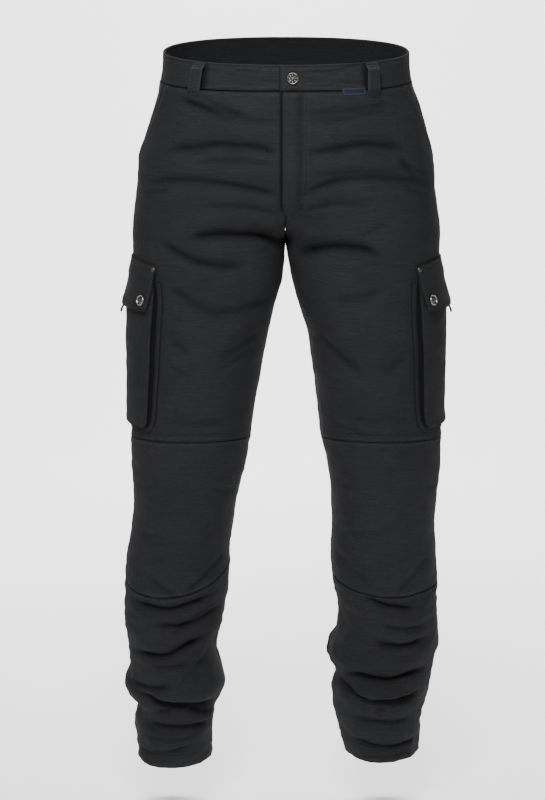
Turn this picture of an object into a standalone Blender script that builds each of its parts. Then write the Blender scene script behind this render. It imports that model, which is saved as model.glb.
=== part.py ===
"""Cargo trousers, filled out and open at the waist and the hems, held up at the waistband.

Metres, +Z up, front towards -Y. The origin is the centre of the waistband's top rim.
The wearer's right leg is at -X and the left leg at +X. A level on the cloth is "down",
its distance below the origin. A place round the cloth is "turn": 0 at the inner front edge
(centre front, then inseam), 0.25 front, 0.5 outseam, 0.75 back, 1 at the inner back edge.
"""
import math
from collections import namedtuple

import bpy
import numpy as np

RIGHT, LEFT = -1, 1
SIDE_NAMES = {RIGHT: "R", LEFT: "L"}

# Cloth
CLOTH = 0.0020          # canvas wall
BAND_CLOTH = 0.0030     # waistband, doubled
HEM_CLOTH = 0.0034      # turned-up hem
HEM_DEPTH, HEM_STEP = 0.026, 0.004
SEAM_GAP = 0.0003
PATCH_CLOTH = 0.0016    # cargo pocket, flap and loops
PATCH_GAP = 0.0005      # under a piece that lies on a curved panel

# Waistband
RIM_FRONT, RIM_BACK = 0.002, -0.029
BAND_SEAM_FRONT, BAND_SEAM_BACK = 0.038, 0.013
BAND_SEAM_POWER = 1.3
BAND_TIP_TURN = 0.008          # left end laps this far past centre front
BAND_UNDERLAP_TURN = 0.038     # right end runs this far under the left one
BAND_CLEAR_TURN, BAND_RAMP_TURN = 0.012, 0.024
BAND_SET_BACK, BAND_SWELL = 0.0037, 0.0006

# Rise and crotch
SEAM_Y = 0.010                 # depth of the inseam and the outseam
SECTION_POWER = 0.85           # 1 is an ellipse, less is boxier
HIP_DOWN, THIGH_DOWN = 0.10, 0.36
RISE_DOWN, CROTCH_DOWN, CROTCH_POWER = 0.12, 0.30, 2.3
UNDER_DOWN, CROTCH_LIFT, LIFT_END, LIFT_REACH = 0.22, 0.045, 0.47, 0.20
EDGE_BLEND = 0.15

# Fly
FLY_SHIFT, FLY_END_HIGH, FLY_END_LOW = 0.005, 0.200, 0.224
FLY_RAISE, FLY_WIDTH_TURN, FLY_RAMP_TURN = 0.0022, 0.105, 0.030
PLACKET_TURNS = (-0.030, 0.045)
PLACKET_DROP = 0.004           # its top edge below the waist seam
PLACKET_SET_BACK = 0.0042      # clear of the fronts where their folds dip

# Slant pocket: the front's edge runs from the waist seam out to the outseam
SLANT_TOP_TURN, SLANT_END_DOWN, HIP_TURN = 0.386, 0.140, 0.45
FACING_UNDERLAP_TURN, FACING_RAMP_TURN, FACING_STEP_TURN = 0.030, 0.020, 0.004
FACING_SET_BACK = 0.0036
FACING_END_DOWN, FACING_ROWS = 0.165, 9

# Knee panel seams
KNEE_TOP, KNEE_TOP_BOW = 0.558, -0.010
KNEE_OUTER, KNEE_MIDDLE, KNEE_BOTTOM_POWER = 0.791, 0.802, 1.4
KNEE_INNER = {RIGHT: 0.756, LEFT: 0.781}

# Cargo pocket, measured along the cloth either side of the outseam
THIGH_ROUND = 0.62             # girth of the thigh there
POCKET_HALF, POCKET_TOP, POCKET_BOTTOM, POCKET_CORNER = 0.0845, 0.317, 0.5385, 0.012
POCKET_CROWN = 0.25            # how much lower the face lies at its side edges
GUSSET_INSET, GUSSET_SPREAD, FLANGE = 0.0030, 0.0060, 0.0065
GUSSET_CLEAR = 0.0008          # between the bellows and the face above it
FLAP_TOP, FLAP_BOTTOM, FLAP_HALF_TOP, FLAP_HALF_BOTTOM = 0.288, 0.360, 0.090, 0.078
FLAP_CORNER_DROP = 0.006       # how much lower the sewn edge lies at its corners
FLAP_CLEAR, FLAP_FLARE, FLAP_PROBE = 0.0007, 0.0030, 0.004
Stand = namedtuple("Stand", "down height")
FACE_STANDS = (
    Stand(0.317, 0.0036),
    Stand(0.335, 0.0070),
    Stand(0.360, 0.0112),
    Stand(0.420, 0.0122),
    Stand(0.500, 0.0104),
    Stand(0.545, 0.0070),
)

# Belt loops; LOOP_TURN is the width as a share of the way round the waist
LOOP_TURN, LOOP_CLOTH, LOOP_SEAT, LOOP_STAND, LOOP_FOOT = 0.040, 0.0016, 0.0009, 0.0083, 0.010
LOOP_DROP, LOOP_BEND = 0.001, 0.22
LoopPlace = namedtuple("LoopPlace", "name side rim_turn foot_turn")
LOOP_PLACES = (
    LoopPlace("belt_loop_front_R", RIGHT, 0.220, 0.224),
    LoopPlace("belt_loop_front_L", LEFT, 0.216, 0.206),
    LoopPlace("belt_loop_side_R", RIGHT, 0.640, 0.640),
    LoopPlace("belt_loop_side_L", LEFT, 0.640, 0.640),
    LoopPlace("belt_loop_back", LEFT, 1.0, 1.0),
)

# Label over the waist seam
LABEL_TURNS, LABEL_ABOVE, LABEL_BELOW = (0.120, 0.186), 0.0045, 0.0065
LABEL_STAND, LABEL_CLOTH = 0.0009, 0.0010

# Pull tab under the flap's edge
TAB_LENGTH, TAB_HALF, TAB_SWELL, TAB_TIP, TAB_CLOTH = 0.0130, 0.0035, 0.0014, 0.0022, 0.0034
TAB_CLEAR, TAB_RISE = 0.0006, 0.0060

# Hardware
WAIST_BUTTON_RADIUS, WAIST_BUTTON_HEIGHT = 0.0088, 0.0034
WAIST_BUTTON_TURN, WAIST_BUTTON_DOWN = 0.0100, 0.0195
SNAP_RADIUS, SNAP_HEIGHT, SNAP_ACROSS, SNAP_DOWN = 0.0080, 0.0028, 0.0675, 0.345
RIVET_RADIUS, RIVET_HEIGHT, RIVET_ACROSS, RIVET_DOWN = 0.0040, 0.0018, 0.084, 0.2990
HARDWARE_GAP = 0.0006

Section = namedtuple("Section", "down outer inner front back")
LEG_SECTIONS = {
    RIGHT: (
        Section(-0.040, 0.180, 0.000, 0.112, 0.116),
        Section(0.000, 0.180, 0.000, 0.113, 0.118),
        Section(0.035, 0.185, 0.000, 0.115, 0.121),
        Section(0.060, 0.191, 0.000, 0.117, 0.128),
        Section(0.100, 0.204, 0.000, 0.118, 0.138),
        Section(0.140, 0.216, 0.000, 0.117, 0.146),
        Section(0.190, 0.221, 0.000, 0.114, 0.150),
        Section(0.240, 0.227, 0.000, 0.108, 0.144),
        Section(0.300, 0.228, 0.000, 0.104, 0.128),
        Section(0.350, 0.226, 0.004, 0.100, 0.112),
        Section(0.385, 0.226, 0.0175, 0.098, 0.106),
        Section(0.420, 0.226, 0.027, 0.096, 0.101),
        Section(0.500, 0.229, 0.044, 0.091, 0.092),
        Section(0.560, 0.233, 0.053, 0.088, 0.084),
        Section(0.605, 0.235, 0.060, 0.086, 0.078),
        Section(0.650, 0.231, 0.072, 0.084, 0.075),
        Section(0.700, 0.234, 0.080, 0.081, 0.075),
        Section(0.745, 0.242, 0.085, 0.077, 0.078),
        Section(0.790, 0.246, 0.087, 0.072, 0.084),
        Section(0.830, 0.249, 0.093, 0.069, 0.088),
        Section(0.880, 0.243, 0.104, 0.067, 0.090),
        Section(0.900, 0.241, 0.107, 0.067, 0.089),
        Section(0.925, 0.237, 0.101, 0.068, 0.088),
        Section(0.955, 0.248, 0.095, 0.070, 0.088),
        Section(0.975, 0.243, 0.099, 0.064, 0.083),
        Section(0.992, 0.229, 0.109, 0.059, 0.078),
        Section(1.025, 0.233, 0.113, 0.061, 0.076),
        Section(1.085, 0.228, 0.117, 0.054, 0.066),
    ),
    LEFT: (
        Section(-0.040, 0.182, 0.000, 0.112, 0.116),
        Section(0.000, 0.182, 0.000, 0.113, 0.118),
        Section(0.035, 0.187, 0.000, 0.115, 0.121),
        Section(0.060, 0.198, 0.000, 0.117, 0.128),
        Section(0.100, 0.209, 0.000, 0.118, 0.138),
        Section(0.140, 0.219, 0.000, 0.117, 0.146),
        Section(0.190, 0.223, 0.000, 0.114, 0.150),
        Section(0.240, 0.230, 0.000, 0.108, 0.144),
        Section(0.300, 0.231, 0.000, 0.104, 0.128),
        Section(0.350, 0.230, 0.010, 0.100, 0.112),
        Section(0.385, 0.229, 0.022, 0.098, 0.106),
        Section(0.420, 0.229, 0.036, 0.096, 0.101),
        Section(0.500, 0.230, 0.048, 0.091, 0.092),
        Section(0.560, 0.237, 0.055, 0.088, 0.084),
        Section(0.605, 0.237, 0.065, 0.086, 0.078),
        Section(0.650, 0.233, 0.071, 0.084, 0.075),
        Section(0.700, 0.229, 0.073, 0.081, 0.075),
        Section(0.745, 0.232, 0.071, 0.077, 0.078),
        Section(0.790, 0.235, 0.075, 0.072, 0.084),
        Section(0.840, 0.235, 0.084, 0.069, 0.089),
        Section(0.865, 0.237, 0.083, 0.068, 0.090),
        Section(0.890, 0.237, 0.070, 0.068, 0.090),
        Section(0.908, 0.232, 0.067, 0.067, 0.088),
        Section(0.940, 0.228, 0.081, 0.067, 0.087),
        Section(0.960, 0.224, 0.075, 0.068, 0.087),
        Section(0.990, 0.218, 0.077, 0.060, 0.080),
        Section(1.025, 0.210, 0.084, 0.061, 0.076),
        Section(1.085, 0.208, 0.102, 0.054, 0.066),
    ),
}
HEM_DOWN = {RIGHT: 1.076, LEFT: 1.066}

# A fold runs from one end to the other as the front shows it: "across" is the distance from
# the centre line, sag bends its middle down, width is its half width and depth its trough.
Fold = namedtuple("Fold", "across0 down0 across1 down1 sag width depth")
FRONT_FOLDS = {
    RIGHT: (
        Fold(0.155, 0.051, 0.058, 0.072, 0.002, 0.014, 0.0022),
        Fold(0.178, 0.127, 0.013, 0.119, -0.005, 0.016, 0.0026),
        Fold(0.202, 0.164, 0.013, 0.172, 0.003, 0.015, 0.0024),
        Fold(0.138, 0.247, 0.006, 0.258, -0.010, 0.016, 0.0052),
        Fold(0.150, 0.260, 0.068, 0.283, 0.006, 0.016, 0.0040),
        Fold(0.185, 0.306, 0.096, 0.361, 0.004, 0.018, 0.0038),
        Fold(0.104, 0.361, 0.015, 0.347, 0.003, 0.017, 0.0036),
        Fold(0.180, 0.387, 0.143, 0.422, 0.002, 0.016, 0.0030),
        Fold(0.100, 0.429, 0.036, 0.398, 0.002, 0.016, 0.0030),
        Fold(0.171, 0.519, 0.088, 0.527, 0.004, 0.014, 0.0022),
        Fold(0.232, 0.815, 0.111, 0.801, 0.008, 0.012, 0.0048),
        Fold(0.194, 0.847, 0.098, 0.827, 0.005, 0.013, 0.0045),
        Fold(0.230, 0.893, 0.124, 0.866, 0.010, 0.011, 0.0055),
        Fold(0.241, 0.946, 0.178, 0.940, 0.003, 0.010, 0.0045),
        Fold(0.226, 0.958, 0.107, 0.978, 0.006, 0.012, 0.0075),
        Fold(0.210, 1.005, 0.118, 1.011, 0.003, 0.011, 0.0045),
        Fold(0.229, 1.055, 0.146, 1.042, 0.002, 0.009, 0.0025),
    ),
    LEFT: (
        Fold(0.039, 0.067, 0.152, 0.057, 0.003, 0.014, 0.0022),
        Fold(0.036, 0.122, 0.163, 0.117, 0.003, 0.016, 0.0024),
        Fold(0.029, 0.157, 0.186, 0.156, 0.003, 0.015, 0.0024),
        Fold(0.011, 0.280, 0.137, 0.270, -0.012, 0.016, 0.0054),
        Fold(0.074, 0.346, 0.142, 0.324, 0.003, 0.016, 0.0036),
        Fold(0.047, 0.397, 0.112, 0.451, 0.003, 0.017, 0.0036),
        Fold(0.149, 0.448, 0.182, 0.422, 0.002, 0.015, 0.0028),
        Fold(0.100, 0.520, 0.179, 0.519, 0.004, 0.014, 0.0022),
        Fold(0.122, 0.800, 0.196, 0.820, 0.004, 0.012, 0.0045),
        Fold(0.138, 0.873, 0.214, 0.875, 0.004, 0.012, 0.0050),
        Fold(0.097, 0.930, 0.214, 0.921, 0.005, 0.012, 0.0070),
        Fold(0.081, 0.944, 0.130, 0.965, 0.003, 0.011, 0.0050),
        Fold(0.130, 0.965, 0.206, 0.956, 0.005, 0.012, 0.0060),
        Fold(0.106, 1.036, 0.204, 1.040, 0.003, 0.010, 0.0040),
    ),
}
BACK_FOLDS = (
    Fold(0.030, 0.240, 0.190, 0.225, 0.010, 0.017, 0.0030),
    Fold(0.030, 0.290, 0.180, 0.262, 0.016, 0.017, 0.0050),
    Fold(0.050, 0.345, 0.185, 0.315, 0.012, 0.017, 0.0035),
    Fold(0.075, 0.585, 0.215, 0.600, 0.006, 0.016, 0.0035),
    Fold(0.085, 0.650, 0.215, 0.640, 0.010, 0.016, 0.0045),
    Fold(0.095, 0.700, 0.220, 0.715, 0.006, 0.015, 0.0035),
    Fold(0.105, 0.850, 0.225, 0.865, 0.006, 0.012, 0.0045),
    Fold(0.110, 0.912, 0.225, 0.900, 0.008, 0.012, 0.0060),
    Fold(0.105, 0.955, 0.220, 0.968, 0.006, 0.012, 0.0065),
    Fold(0.120, 1.015, 0.210, 1.008, 0.006, 0.011, 0.0050),
)
FOLD_CREST, FOLD_TROUGH, FOLD_SPREAD = 0.9, 1.7, 2.1
FOLD_FULL, FOLD_FADE = 0.32, 0.16      # parts of a fold's length: full depth, then fading out
FOLD_FACING = 1.6      # how fast a fold fills in where the cloth turns to the side
FLAT_ZONE = 0.100      # the thigh is smooth this far either side of the outseam, under the pocket
FLAT_MARGIN, FLAT_FADE = 0.012, 0.020
EDGE_FADE_TURN, EDGE_FADE_END = 0.020, 0.330      # folds die away at the centre seams

# Panel grids
RISE_ROWS, THIGH_ROWS, KNEE_ROWS, SHIN_ROWS = 10, 10, 8, 20
FRONT_COLUMNS, BACK_COLUMNS = 12, 9

DERIVATIVE_TURN, DERIVATIVE_DOWN, TINY = 1e-4, 5e-4, 1e-6
SMOOTH_ANGLE = math.radians(50.0)
CANVAS = ((0.045, 0.047, 0.050), 0.85, 0.0)
SHADED_CANVAS = ((0.028, 0.029, 0.032), 0.90, 0.0)
NAVY = ((0.020, 0.025, 0.045), 0.80, 0.0)
SILVER = ((0.38, 0.37, 0.35), 0.38, 1.0)
RUBBER = ((0.022, 0.023, 0.027), 0.55, 0.0)


def smooth_step(value):
    """Rise smoothly from 0 to 1 as value goes from 0 to 1."""
    value = np.clip(value, 0.0, 1.0)
    return value * value * (3.0 - 2.0 * value)


def smooth_curve(at, knots, values):
    """Read a curve that passes through the values at the knots with no overshoot."""
    steps, at = np.diff(knots), np.clip(at, knots[0], knots[-1])
    slopes = np.diff(values) / steps
    before, after = slopes[:-1], slopes[1:]
    same_way = before * after > 0.0
    total = np.where(same_way, before + after, 1.0)
    middle = np.where(same_way, 2.0 * before * after / total, 0.0)
    tangents = np.concatenate([slopes[:1], middle, slopes[-1:]])
    cell = np.clip(np.searchsorted(knots, at) - 1, 0, len(steps) - 1)
    part = (at - knots[cell]) / steps[cell]
    rest = 1.0 - part
    return (values[cell] * (1.0 + 2.0 * part) * rest ** 2
            + values[cell + 1] * (3.0 - 2.0 * part) * part ** 2
            + steps[cell] * part * rest * (tangents[cell] * rest - tangents[cell + 1] * part))


def read_section(side, column, down):
    """Value of one column of the leg's table at each level."""
    rows = LEG_SECTIONS[side]
    knots = np.array([row.down for row in rows])
    return smooth_curve(down, knots, np.array([getattr(row, column) for row in rows]))


def signed_power(value, power):
    """Raise to a power and keep the sign."""
    return np.sign(value) * np.abs(value) ** power


def leg_point(side, turn, down):
    """Points of the canvas's outer face, before its folds."""
    turn, down = np.broadcast_arrays(np.asarray(turn, float), np.asarray(down, float))
    outer, inner, front, back = (read_section(side, name, down) for name in Section._fields[1:])
    body_in, body_along = (signed_power(f(math.pi * turn), SECTION_POWER) for f in (np.sin, np.cos))
    leg_in, leg_along = np.cos(2.0 * math.pi * turn), np.sin(2.0 * math.pi * turn)
    body_depth = np.where(body_along > 0.0, front + SEAM_Y, back - SEAM_Y)
    leg_depth = np.where(leg_along > 0.0, front + SEAM_Y, back - SEAM_Y)
    body = (outer * body_in, SEAM_Y - body_depth * body_along)
    leg = ((outer + inner - (outer - inner) * leg_in) / 2.0, SEAM_Y - leg_depth * leg_along)
    edge = np.abs(turn - np.round(turn))
    at_seam = np.clip((down - RISE_DOWN) / (CROTCH_DOWN - RISE_DOWN), 0.0, 1.0) ** CROTCH_POWER
    elsewhere = smooth_step((down - HIP_DOWN) / (THIGH_DOWN - HIP_DOWN))
    weight = at_seam + (elsewhere - at_seam) * smooth_step(edge / EDGE_BLEND)
    rising = np.clip((down - UNDER_DOWN) / (CROTCH_DOWN - UNDER_DOWN), 0.0, 1.0) ** 2
    falling = smooth_step((LIFT_END - down) / (LIFT_END - CROTCH_DOWN))
    lift = CROTCH_LIFT * np.minimum(rising, falling) * np.clip(1.0 - edge / LIFT_REACH, 0.0, 1.0) ** 2
    across = body[0] + (leg[0] - body[0]) * weight
    return np.stack([side * across, body[1] + (leg[1] - body[1]) * weight, lift - down], axis=-1)


def leg_surface(side, turn, down):
    """Points of the outer face before its folds, and their outward normals."""
    point = leg_point(side, turn, down)
    across = leg_point(side, turn + DERIVATIVE_TURN, down) - leg_point(side, turn - DERIVATIVE_TURN, down)
    above = point - leg_point(side, turn, down - DERIVATIVE_DOWN)
    below = leg_point(side, turn, down + DERIVATIVE_DOWN) - point
    normal = side * np.cross(above + below, across)
    on_centre = (np.abs(turn - np.round(turn)) < TINY) & (down < CROTCH_DOWN + TINY)
    facing = np.where(np.round(turn) == 0, 1.0, -1.0)
    centre_normal = np.stack([0.0 * facing, facing * above[..., 2], -facing * above[..., 1]], axis=-1)
    normal = np.where(on_centre[..., None], centre_normal, normal)
    return point, normal / np.linalg.norm(normal, axis=-1, keepdims=True)


def fold_height(point, folds):
    """How far the folds push the cloth out, from where it lies as seen from the front."""
    across, down = np.abs(point[..., 0]), -point[..., 2]
    height = np.zeros_like(across)
    for fold in folds:
        run, fall = fold.across1 - fold.across0, fold.down1 - fold.down0
        length = math.hypot(run, fall)
        part = ((across - fold.across0) * run + (down - fold.down0) * fall) / length ** 2
        bow = fold.sag * 4.0 * part * (1.0 - part)
        off = ((down - fold.down0) * abs(run) - (across - fold.across0) * fall * np.sign(run)) / length - bow
        ends = np.exp(-(np.clip(np.abs(part - 0.5) - FOLD_FULL, 0.0, None) / FOLD_FADE) ** 2)
        crest = FOLD_CREST * np.exp(-(off / (FOLD_SPREAD * fold.width)) ** 2)
        height += fold.depth * ends * (crest - FOLD_TROUGH * np.exp(-(off / fold.width) ** 2))
    return height


def folded_surface(side, turn, down):
    """Points of the outer face with its folds, and the normals before the folds."""
    turn, down = np.broadcast_arrays(np.asarray(turn, float), np.asarray(down, float))
    point, normal = leg_surface(side, turn, down)
    to_front = np.clip(-FOLD_FACING * normal[..., 1], 0.0, 1.0)
    to_back = np.clip(FOLD_FACING * normal[..., 1], 0.0, 1.0)
    height = fold_height(point, FRONT_FOLDS[side]) * to_front + fold_height(point, BACK_FOLDS) * to_back
    beside = smooth_step((np.abs(turn - 0.5) * THIGH_ROUND - FLAT_ZONE) / FLAT_FADE)
    above = smooth_step((FLAP_TOP - FLAT_MARGIN - down) / FLAT_FADE)
    below = smooth_step((down - POCKET_BOTTOM - FLAT_MARGIN) / FLAT_FADE)
    seam = np.clip(np.abs(turn - np.round(turn)) / EDGE_FADE_TURN, 0.0, 1.0)
    height = height * np.clip(beside + above + below, 0.0, 1.0) * np.where(down < EDGE_FADE_END, seam, 1.0)
    return point + normal * height[..., None], normal


def wall_mesh(name, outer, inner):
    """Closed wall between two grids of points, outer (rows, columns, 3) and inner."""
    rows, columns = outer.shape[:2]
    count = rows * columns
    points = np.concatenate([outer.reshape(-1, 3), inner.reshape(-1, 3)])
    faces = []
    for r in range(rows - 1):
        for c in range(columns - 1):
            a, b = r * columns + c, r * columns + c + 1
            faces.append((a, a + columns, b + columns, b))
            faces.append((count + a, count + b, count + b + columns, count + a + columns))
    for r in range(rows - 1):
        for c, step in ((0, -1), (columns - 1, 1)):
            a, b = r * columns + c, (r + 1) * columns + c
            quad = (a, b, count + b, count + a)
            faces.append(quad if step > 0 else quad[::-1])
    for c in range(columns - 1):
        for r, step in ((0, 1), (rows - 1, -1)):
            a, b = r * columns + c, r * columns + c + 1
            quad = (a, b, count + b, count + a)
            faces.append(quad if step > 0 else quad[::-1])
    mesh = bpy.data.meshes.new(name)
    mesh.from_pydata([tuple(map(float, p)) for p in points], [], faces)
    return mesh


def make_material(name, look):
    """Principled material from a colour, a roughness and a metallic value."""
    colour, roughness, metallic = look
    material = bpy.data.materials.new(name)
    material.use_nodes = True
    shader = material.node_tree.nodes["Principled BSDF"]
    shader.inputs["Base Color"].default_value = (*colour, 1.0)
    shader.inputs["Roughness"].default_value = roughness
    shader.inputs["Metallic"].default_value = metallic
    return material


def add_object(name, mesh, look):
    """Put a closed mesh in the scene with its own material, faces pointing out."""
    piece = bpy.data.objects.new(name, mesh)
    bpy.context.scene.collection.objects.link(piece)
    mesh.materials.append(make_material(name + "_material", look))
    points = np.array([v.co for v in mesh.vertices])
    mesh.calc_loop_triangles()
    corners = points[np.array([t.vertices for t in mesh.loop_triangles])]
    volume = np.einsum("ij,ij->i", corners[:, 0], np.cross(corners[:, 1], corners[:, 2])).sum()
    if volume < 0.0:
        mesh.flip_normals()
    mesh.shade_smooth()
    mesh.set_sharp_from_angle(angle=SMOOTH_ANGLE)
    return piece


def add_wall(name, outer, inner, look=CANVAS):
    """Add a cloth wall between an outer and an inner grid."""
    return add_object(name, wall_mesh(name, outer, inner), look)


def trim(outer, inner, top=0.0, bottom=0.0, first=0.0, last=0.0):
    """Draw the grid's edges in along the cloth, to leave half a seam's gap at each."""
    for axis, near, by in ((0, 0, top), (0, -1, bottom), (1, 0, first), (1, -1, last)):
        edge = (near, slice(None)) if axis == 0 else (slice(None), near)
        step = 1 if near == 0 else -2
        following = (step, slice(None)) if axis == 0 else (slice(None), step)
        way = outer[following] - outer[edge]
        way = way / np.linalg.norm(way, axis=-1, keepdims=True) * by
        outer[edge] += way
        inner[edge] += way


def rim_down(turn):
    """Level of the waistband's top rim."""
    return RIM_FRONT + (RIM_BACK - RIM_FRONT) * (1.0 - np.cos(math.pi * turn)) / 2.0


def band_seam_down(turn):
    """Level of the seam under the waistband."""
    part = (1.0 - np.cos(math.pi * turn)) / 2.0
    return BAND_SEAM_FRONT + (BAND_SEAM_BACK - BAND_SEAM_FRONT) * part ** BAND_SEAM_POWER


def knee_top_down(turn):
    """Level of the seam over the knee panel, bowed down in the middle."""
    return KNEE_TOP + KNEE_TOP_BOW * np.sin(2.0 * math.pi * np.clip(turn, 0.0, 0.5))


def knee_bottom_down(side, turn):
    """Level of the U-shaped seam under the knee panel."""
    part = np.clip(turn / 0.5, 0.0, 1.0)
    ends = KNEE_INNER[side] + (KNEE_OUTER - KNEE_INNER[side]) * part
    dip = KNEE_MIDDLE - (KNEE_INNER[side] + KNEE_OUTER) / 2.0
    return ends + dip * np.sin(math.pi * part) ** KNEE_BOTTOM_POWER


def front_levels(side, turn):
    """Levels of every row of the front, waist seam to hem, at one place round the leg."""
    marks = (band_seam_down(turn), CROTCH_DOWN, knee_top_down(turn), knee_bottom_down(side, turn),
             HEM_DOWN[side])
    counts = (RISE_ROWS, THIGH_ROWS, KNEE_ROWS, SHIN_ROWS)
    runs = [np.linspace(marks[k], marks[k + 1], counts[k] + 1)[1:] for k in range(4)]
    return np.concatenate([[marks[0]], *runs])


def slant_turn(down):
    """Where the front ends beside the slant pocket: at the outseam below the pocket's end."""
    start = band_seam_down(SLANT_TOP_TURN)
    part = np.clip((down - start) / (SLANT_END_DOWN - start), 0.0, 1.0)
    return SLANT_TOP_TURN + (0.5 - SLANT_TOP_TURN) * part


def wall_depth(side, down):
    """Cloth thickness, doubled where the hem is turned up."""
    turned_up = smooth_step((down - HEM_DOWN[side] + HEM_DEPTH + HEM_STEP) / HEM_STEP)
    return CLOTH + (HEM_CLOTH - CLOTH) * turned_up


def part_inner_edge(side, grid, skin, column, shift):
    """Leave half a seam's gap at the centre seam and, below the crotch, along the inseam."""
    following = 1 if column == 0 else column - 1
    for row in range(len(grid)):
        if row >= RISE_ROWS:
            way = skin[row, following] - skin[row, column]
            grid[row, column] += way / np.linalg.norm(way) * SEAM_GAP / 2.0
        if row <= RISE_ROWS:
            grid[row, column, 0] = side * SEAM_GAP / 2.0 - shift[row]


def front_grid(side):
    """Outer and inner points of the whole front of one leg."""
    edge_turn = slant_turn(front_levels(side, HIP_TURN))
    turns = edge_turn[:, None] * np.linspace(0.0, 1.0, FRONT_COLUMNS + 1)[None, :]
    downs = np.array([[front_levels(side, turn)[row] for turn in turns[row]] for row in range(len(turns))])
    outer, normal = folded_surface(side, turns, downs)
    fly = 1.0 - smooth_step((downs - FLY_END_HIGH) / (FLY_END_LOW - FLY_END_HIGH))
    if side == LEFT:
        raised = smooth_step((FLY_WIDTH_TURN - turns) / FLY_RAMP_TURN)
        outer = outer + normal * (FLY_RAISE * fly * raised)[..., None]
    inner = outer - normal * wall_depth(side, downs)[..., None]
    skin = outer.copy()
    part_inner_edge(side, outer, skin, 0, FLY_SHIFT * fly[:, 0])
    part_inner_edge(side, inner, skin, 0, FLY_SHIFT * fly[:, 0])
    return outer, inner


def add_fronts(side):
    """Thigh, knee and shin panels of one leg's front."""
    outer, inner = front_grid(side)
    knee_row = RISE_ROWS + THIGH_ROWS
    marks = (0, knee_row, knee_row + KNEE_ROWS, knee_row + KNEE_ROWS + SHIN_ROWS)
    for k, name in enumerate(("front_thigh", "front_knee", "front_shin")):
        rows = slice(marks[k], marks[k + 1] + 1)
        skin, lining = outer[rows].copy(), inner[rows].copy()
        bottom = 0.0 if name == "front_shin" else SEAM_GAP / 2.0
        trim(skin, lining, top=SEAM_GAP / 2.0, bottom=bottom, last=SEAM_GAP / 2.0)
        add_wall(f"{name}_{SIDE_NAMES[side]}", skin, lining)


def add_back(side):
    """Back panel of one leg, waist seam to hem, its rows meeting the front's at both seams."""
    outseam, inseam = front_levels(side, 0.5)[:, None], front_levels(side, 0.0)[:, None]
    turns = np.linspace(0.5, 1.0, BACK_COLUMNS + 1)[None, :]
    downs = outseam + (inseam - outseam) * (turns - 0.5) / 0.5
    fade = np.clip(1.0 - np.arange(len(downs)) / RISE_ROWS, 0.0, 1.0)[:, None]
    downs = downs + fade * (band_seam_down(turns) - downs[0])
    outer, normal = folded_surface(side, np.broadcast_to(turns, downs.shape), downs)
    inner = outer - normal * wall_depth(side, downs)[..., None]
    skin = outer.copy()
    part_inner_edge(side, outer, skin, BACK_COLUMNS, np.zeros(len(downs)))
    part_inner_edge(side, inner, skin, BACK_COLUMNS, np.zeros(len(downs)))
    trim(outer, inner, top=SEAM_GAP / 2.0, first=SEAM_GAP / 2.0)
    add_wall(f"back_{SIDE_NAMES[side]}", outer, inner)


def add_facing(side):
    """The piece of the hip that shows in the slant pocket, running on under the front's edge."""
    top = band_seam_down(HIP_TURN)
    turns, downs = [], []
    for part in np.linspace(0.0, 1.0, FACING_ROWS + 1):
        edge = slant_turn(top + (FACING_END_DOWN - top) * part)
        row = np.array([edge - FACING_UNDERLAP_TURN, edge - FACING_STEP_TURN,
                        (edge + 0.5) / 2.0 + FACING_STEP_TURN, 0.5])
        row = np.minimum(row, 0.5 - FACING_STEP_TURN * np.array([3.0, 2.0, 1.0, 0.0]))
        turns.append(row)
        downs.append(band_seam_down(row) + (FACING_END_DOWN - band_seam_down(row)) * part)
    turns, downs = np.array(turns), np.array(downs)
    point, normal = folded_surface(side, turns, downs)
    past_edge = (turns - slant_turn(downs)) / FACING_RAMP_TURN
    set_back = FACING_SET_BACK * (1.0 - smooth_step(past_edge))
    outer = point - normal * set_back[..., None]
    inner = outer - normal * PATCH_CLOTH
    trim(outer, inner, top=SEAM_GAP / 2.0, last=SEAM_GAP / 2.0)
    add_wall(f"hip_pocket_facing_{SIDE_NAMES[side]}", outer, inner, SHADED_CANVAS)


def band_wall(side, turns, set_back=0.0):
    """A run of waistband: doubled cloth, a little proud in the middle of its height."""
    turns = np.asarray(turns, float)
    part = np.linspace(0.0, 1.0, 4)[:, None]
    downs = rim_down(turns)[None, :] + (band_seam_down(turns) - rim_down(turns))[None, :] * part
    point, normal = leg_surface(side, np.broadcast_to(turns, downs.shape), downs)
    proud = BAND_SWELL * np.sin(math.pi * part) - set_back * np.ones(turns.shape)
    outer = point + normal * proud[..., None]
    inner = outer - normal * BAND_CLOTH
    return outer, inner


def add_waistband():
    """Two front bands that lap at centre front, and the back band from outseam to outseam."""
    tip = np.array([-BAND_TIP_TURN, 0.01, 0.03, 0.06])
    under = np.array([-BAND_UNDERLAP_TURN, -0.016, 0.004, BAND_CLEAR_TURN, 0.036, 0.06])
    rest = np.linspace(0.10, 0.5, 9)
    outer, inner = band_wall(LEFT, np.concatenate([tip, rest]))
    trim(outer, inner, bottom=SEAM_GAP / 2.0, last=SEAM_GAP / 2.0)
    add_wall("waistband_front_L", outer, inner)
    turns = np.concatenate([under, rest])
    set_back = BAND_SET_BACK * (1.0 - smooth_step((turns - BAND_CLEAR_TURN) / BAND_RAMP_TURN))
    outer, inner = band_wall(RIGHT, turns, set_back)
    trim(outer, inner, bottom=SEAM_GAP / 2.0, last=SEAM_GAP / 2.0)
    add_wall("waistband_front_R", outer, inner)
    half = np.linspace(0.5, 1.0, 11)
    right_outer, right_inner = band_wall(RIGHT, half)
    left_outer, left_inner = band_wall(LEFT, half[-2::-1])
    outer = np.concatenate([right_outer, left_outer], axis=1)
    inner = np.concatenate([right_inner, left_inner], axis=1)
    trim(outer, inner, bottom=SEAM_GAP / 2.0, first=SEAM_GAP / 2.0, last=SEAM_GAP / 2.0)
    add_wall("waistband_back", outer, inner)


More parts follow.
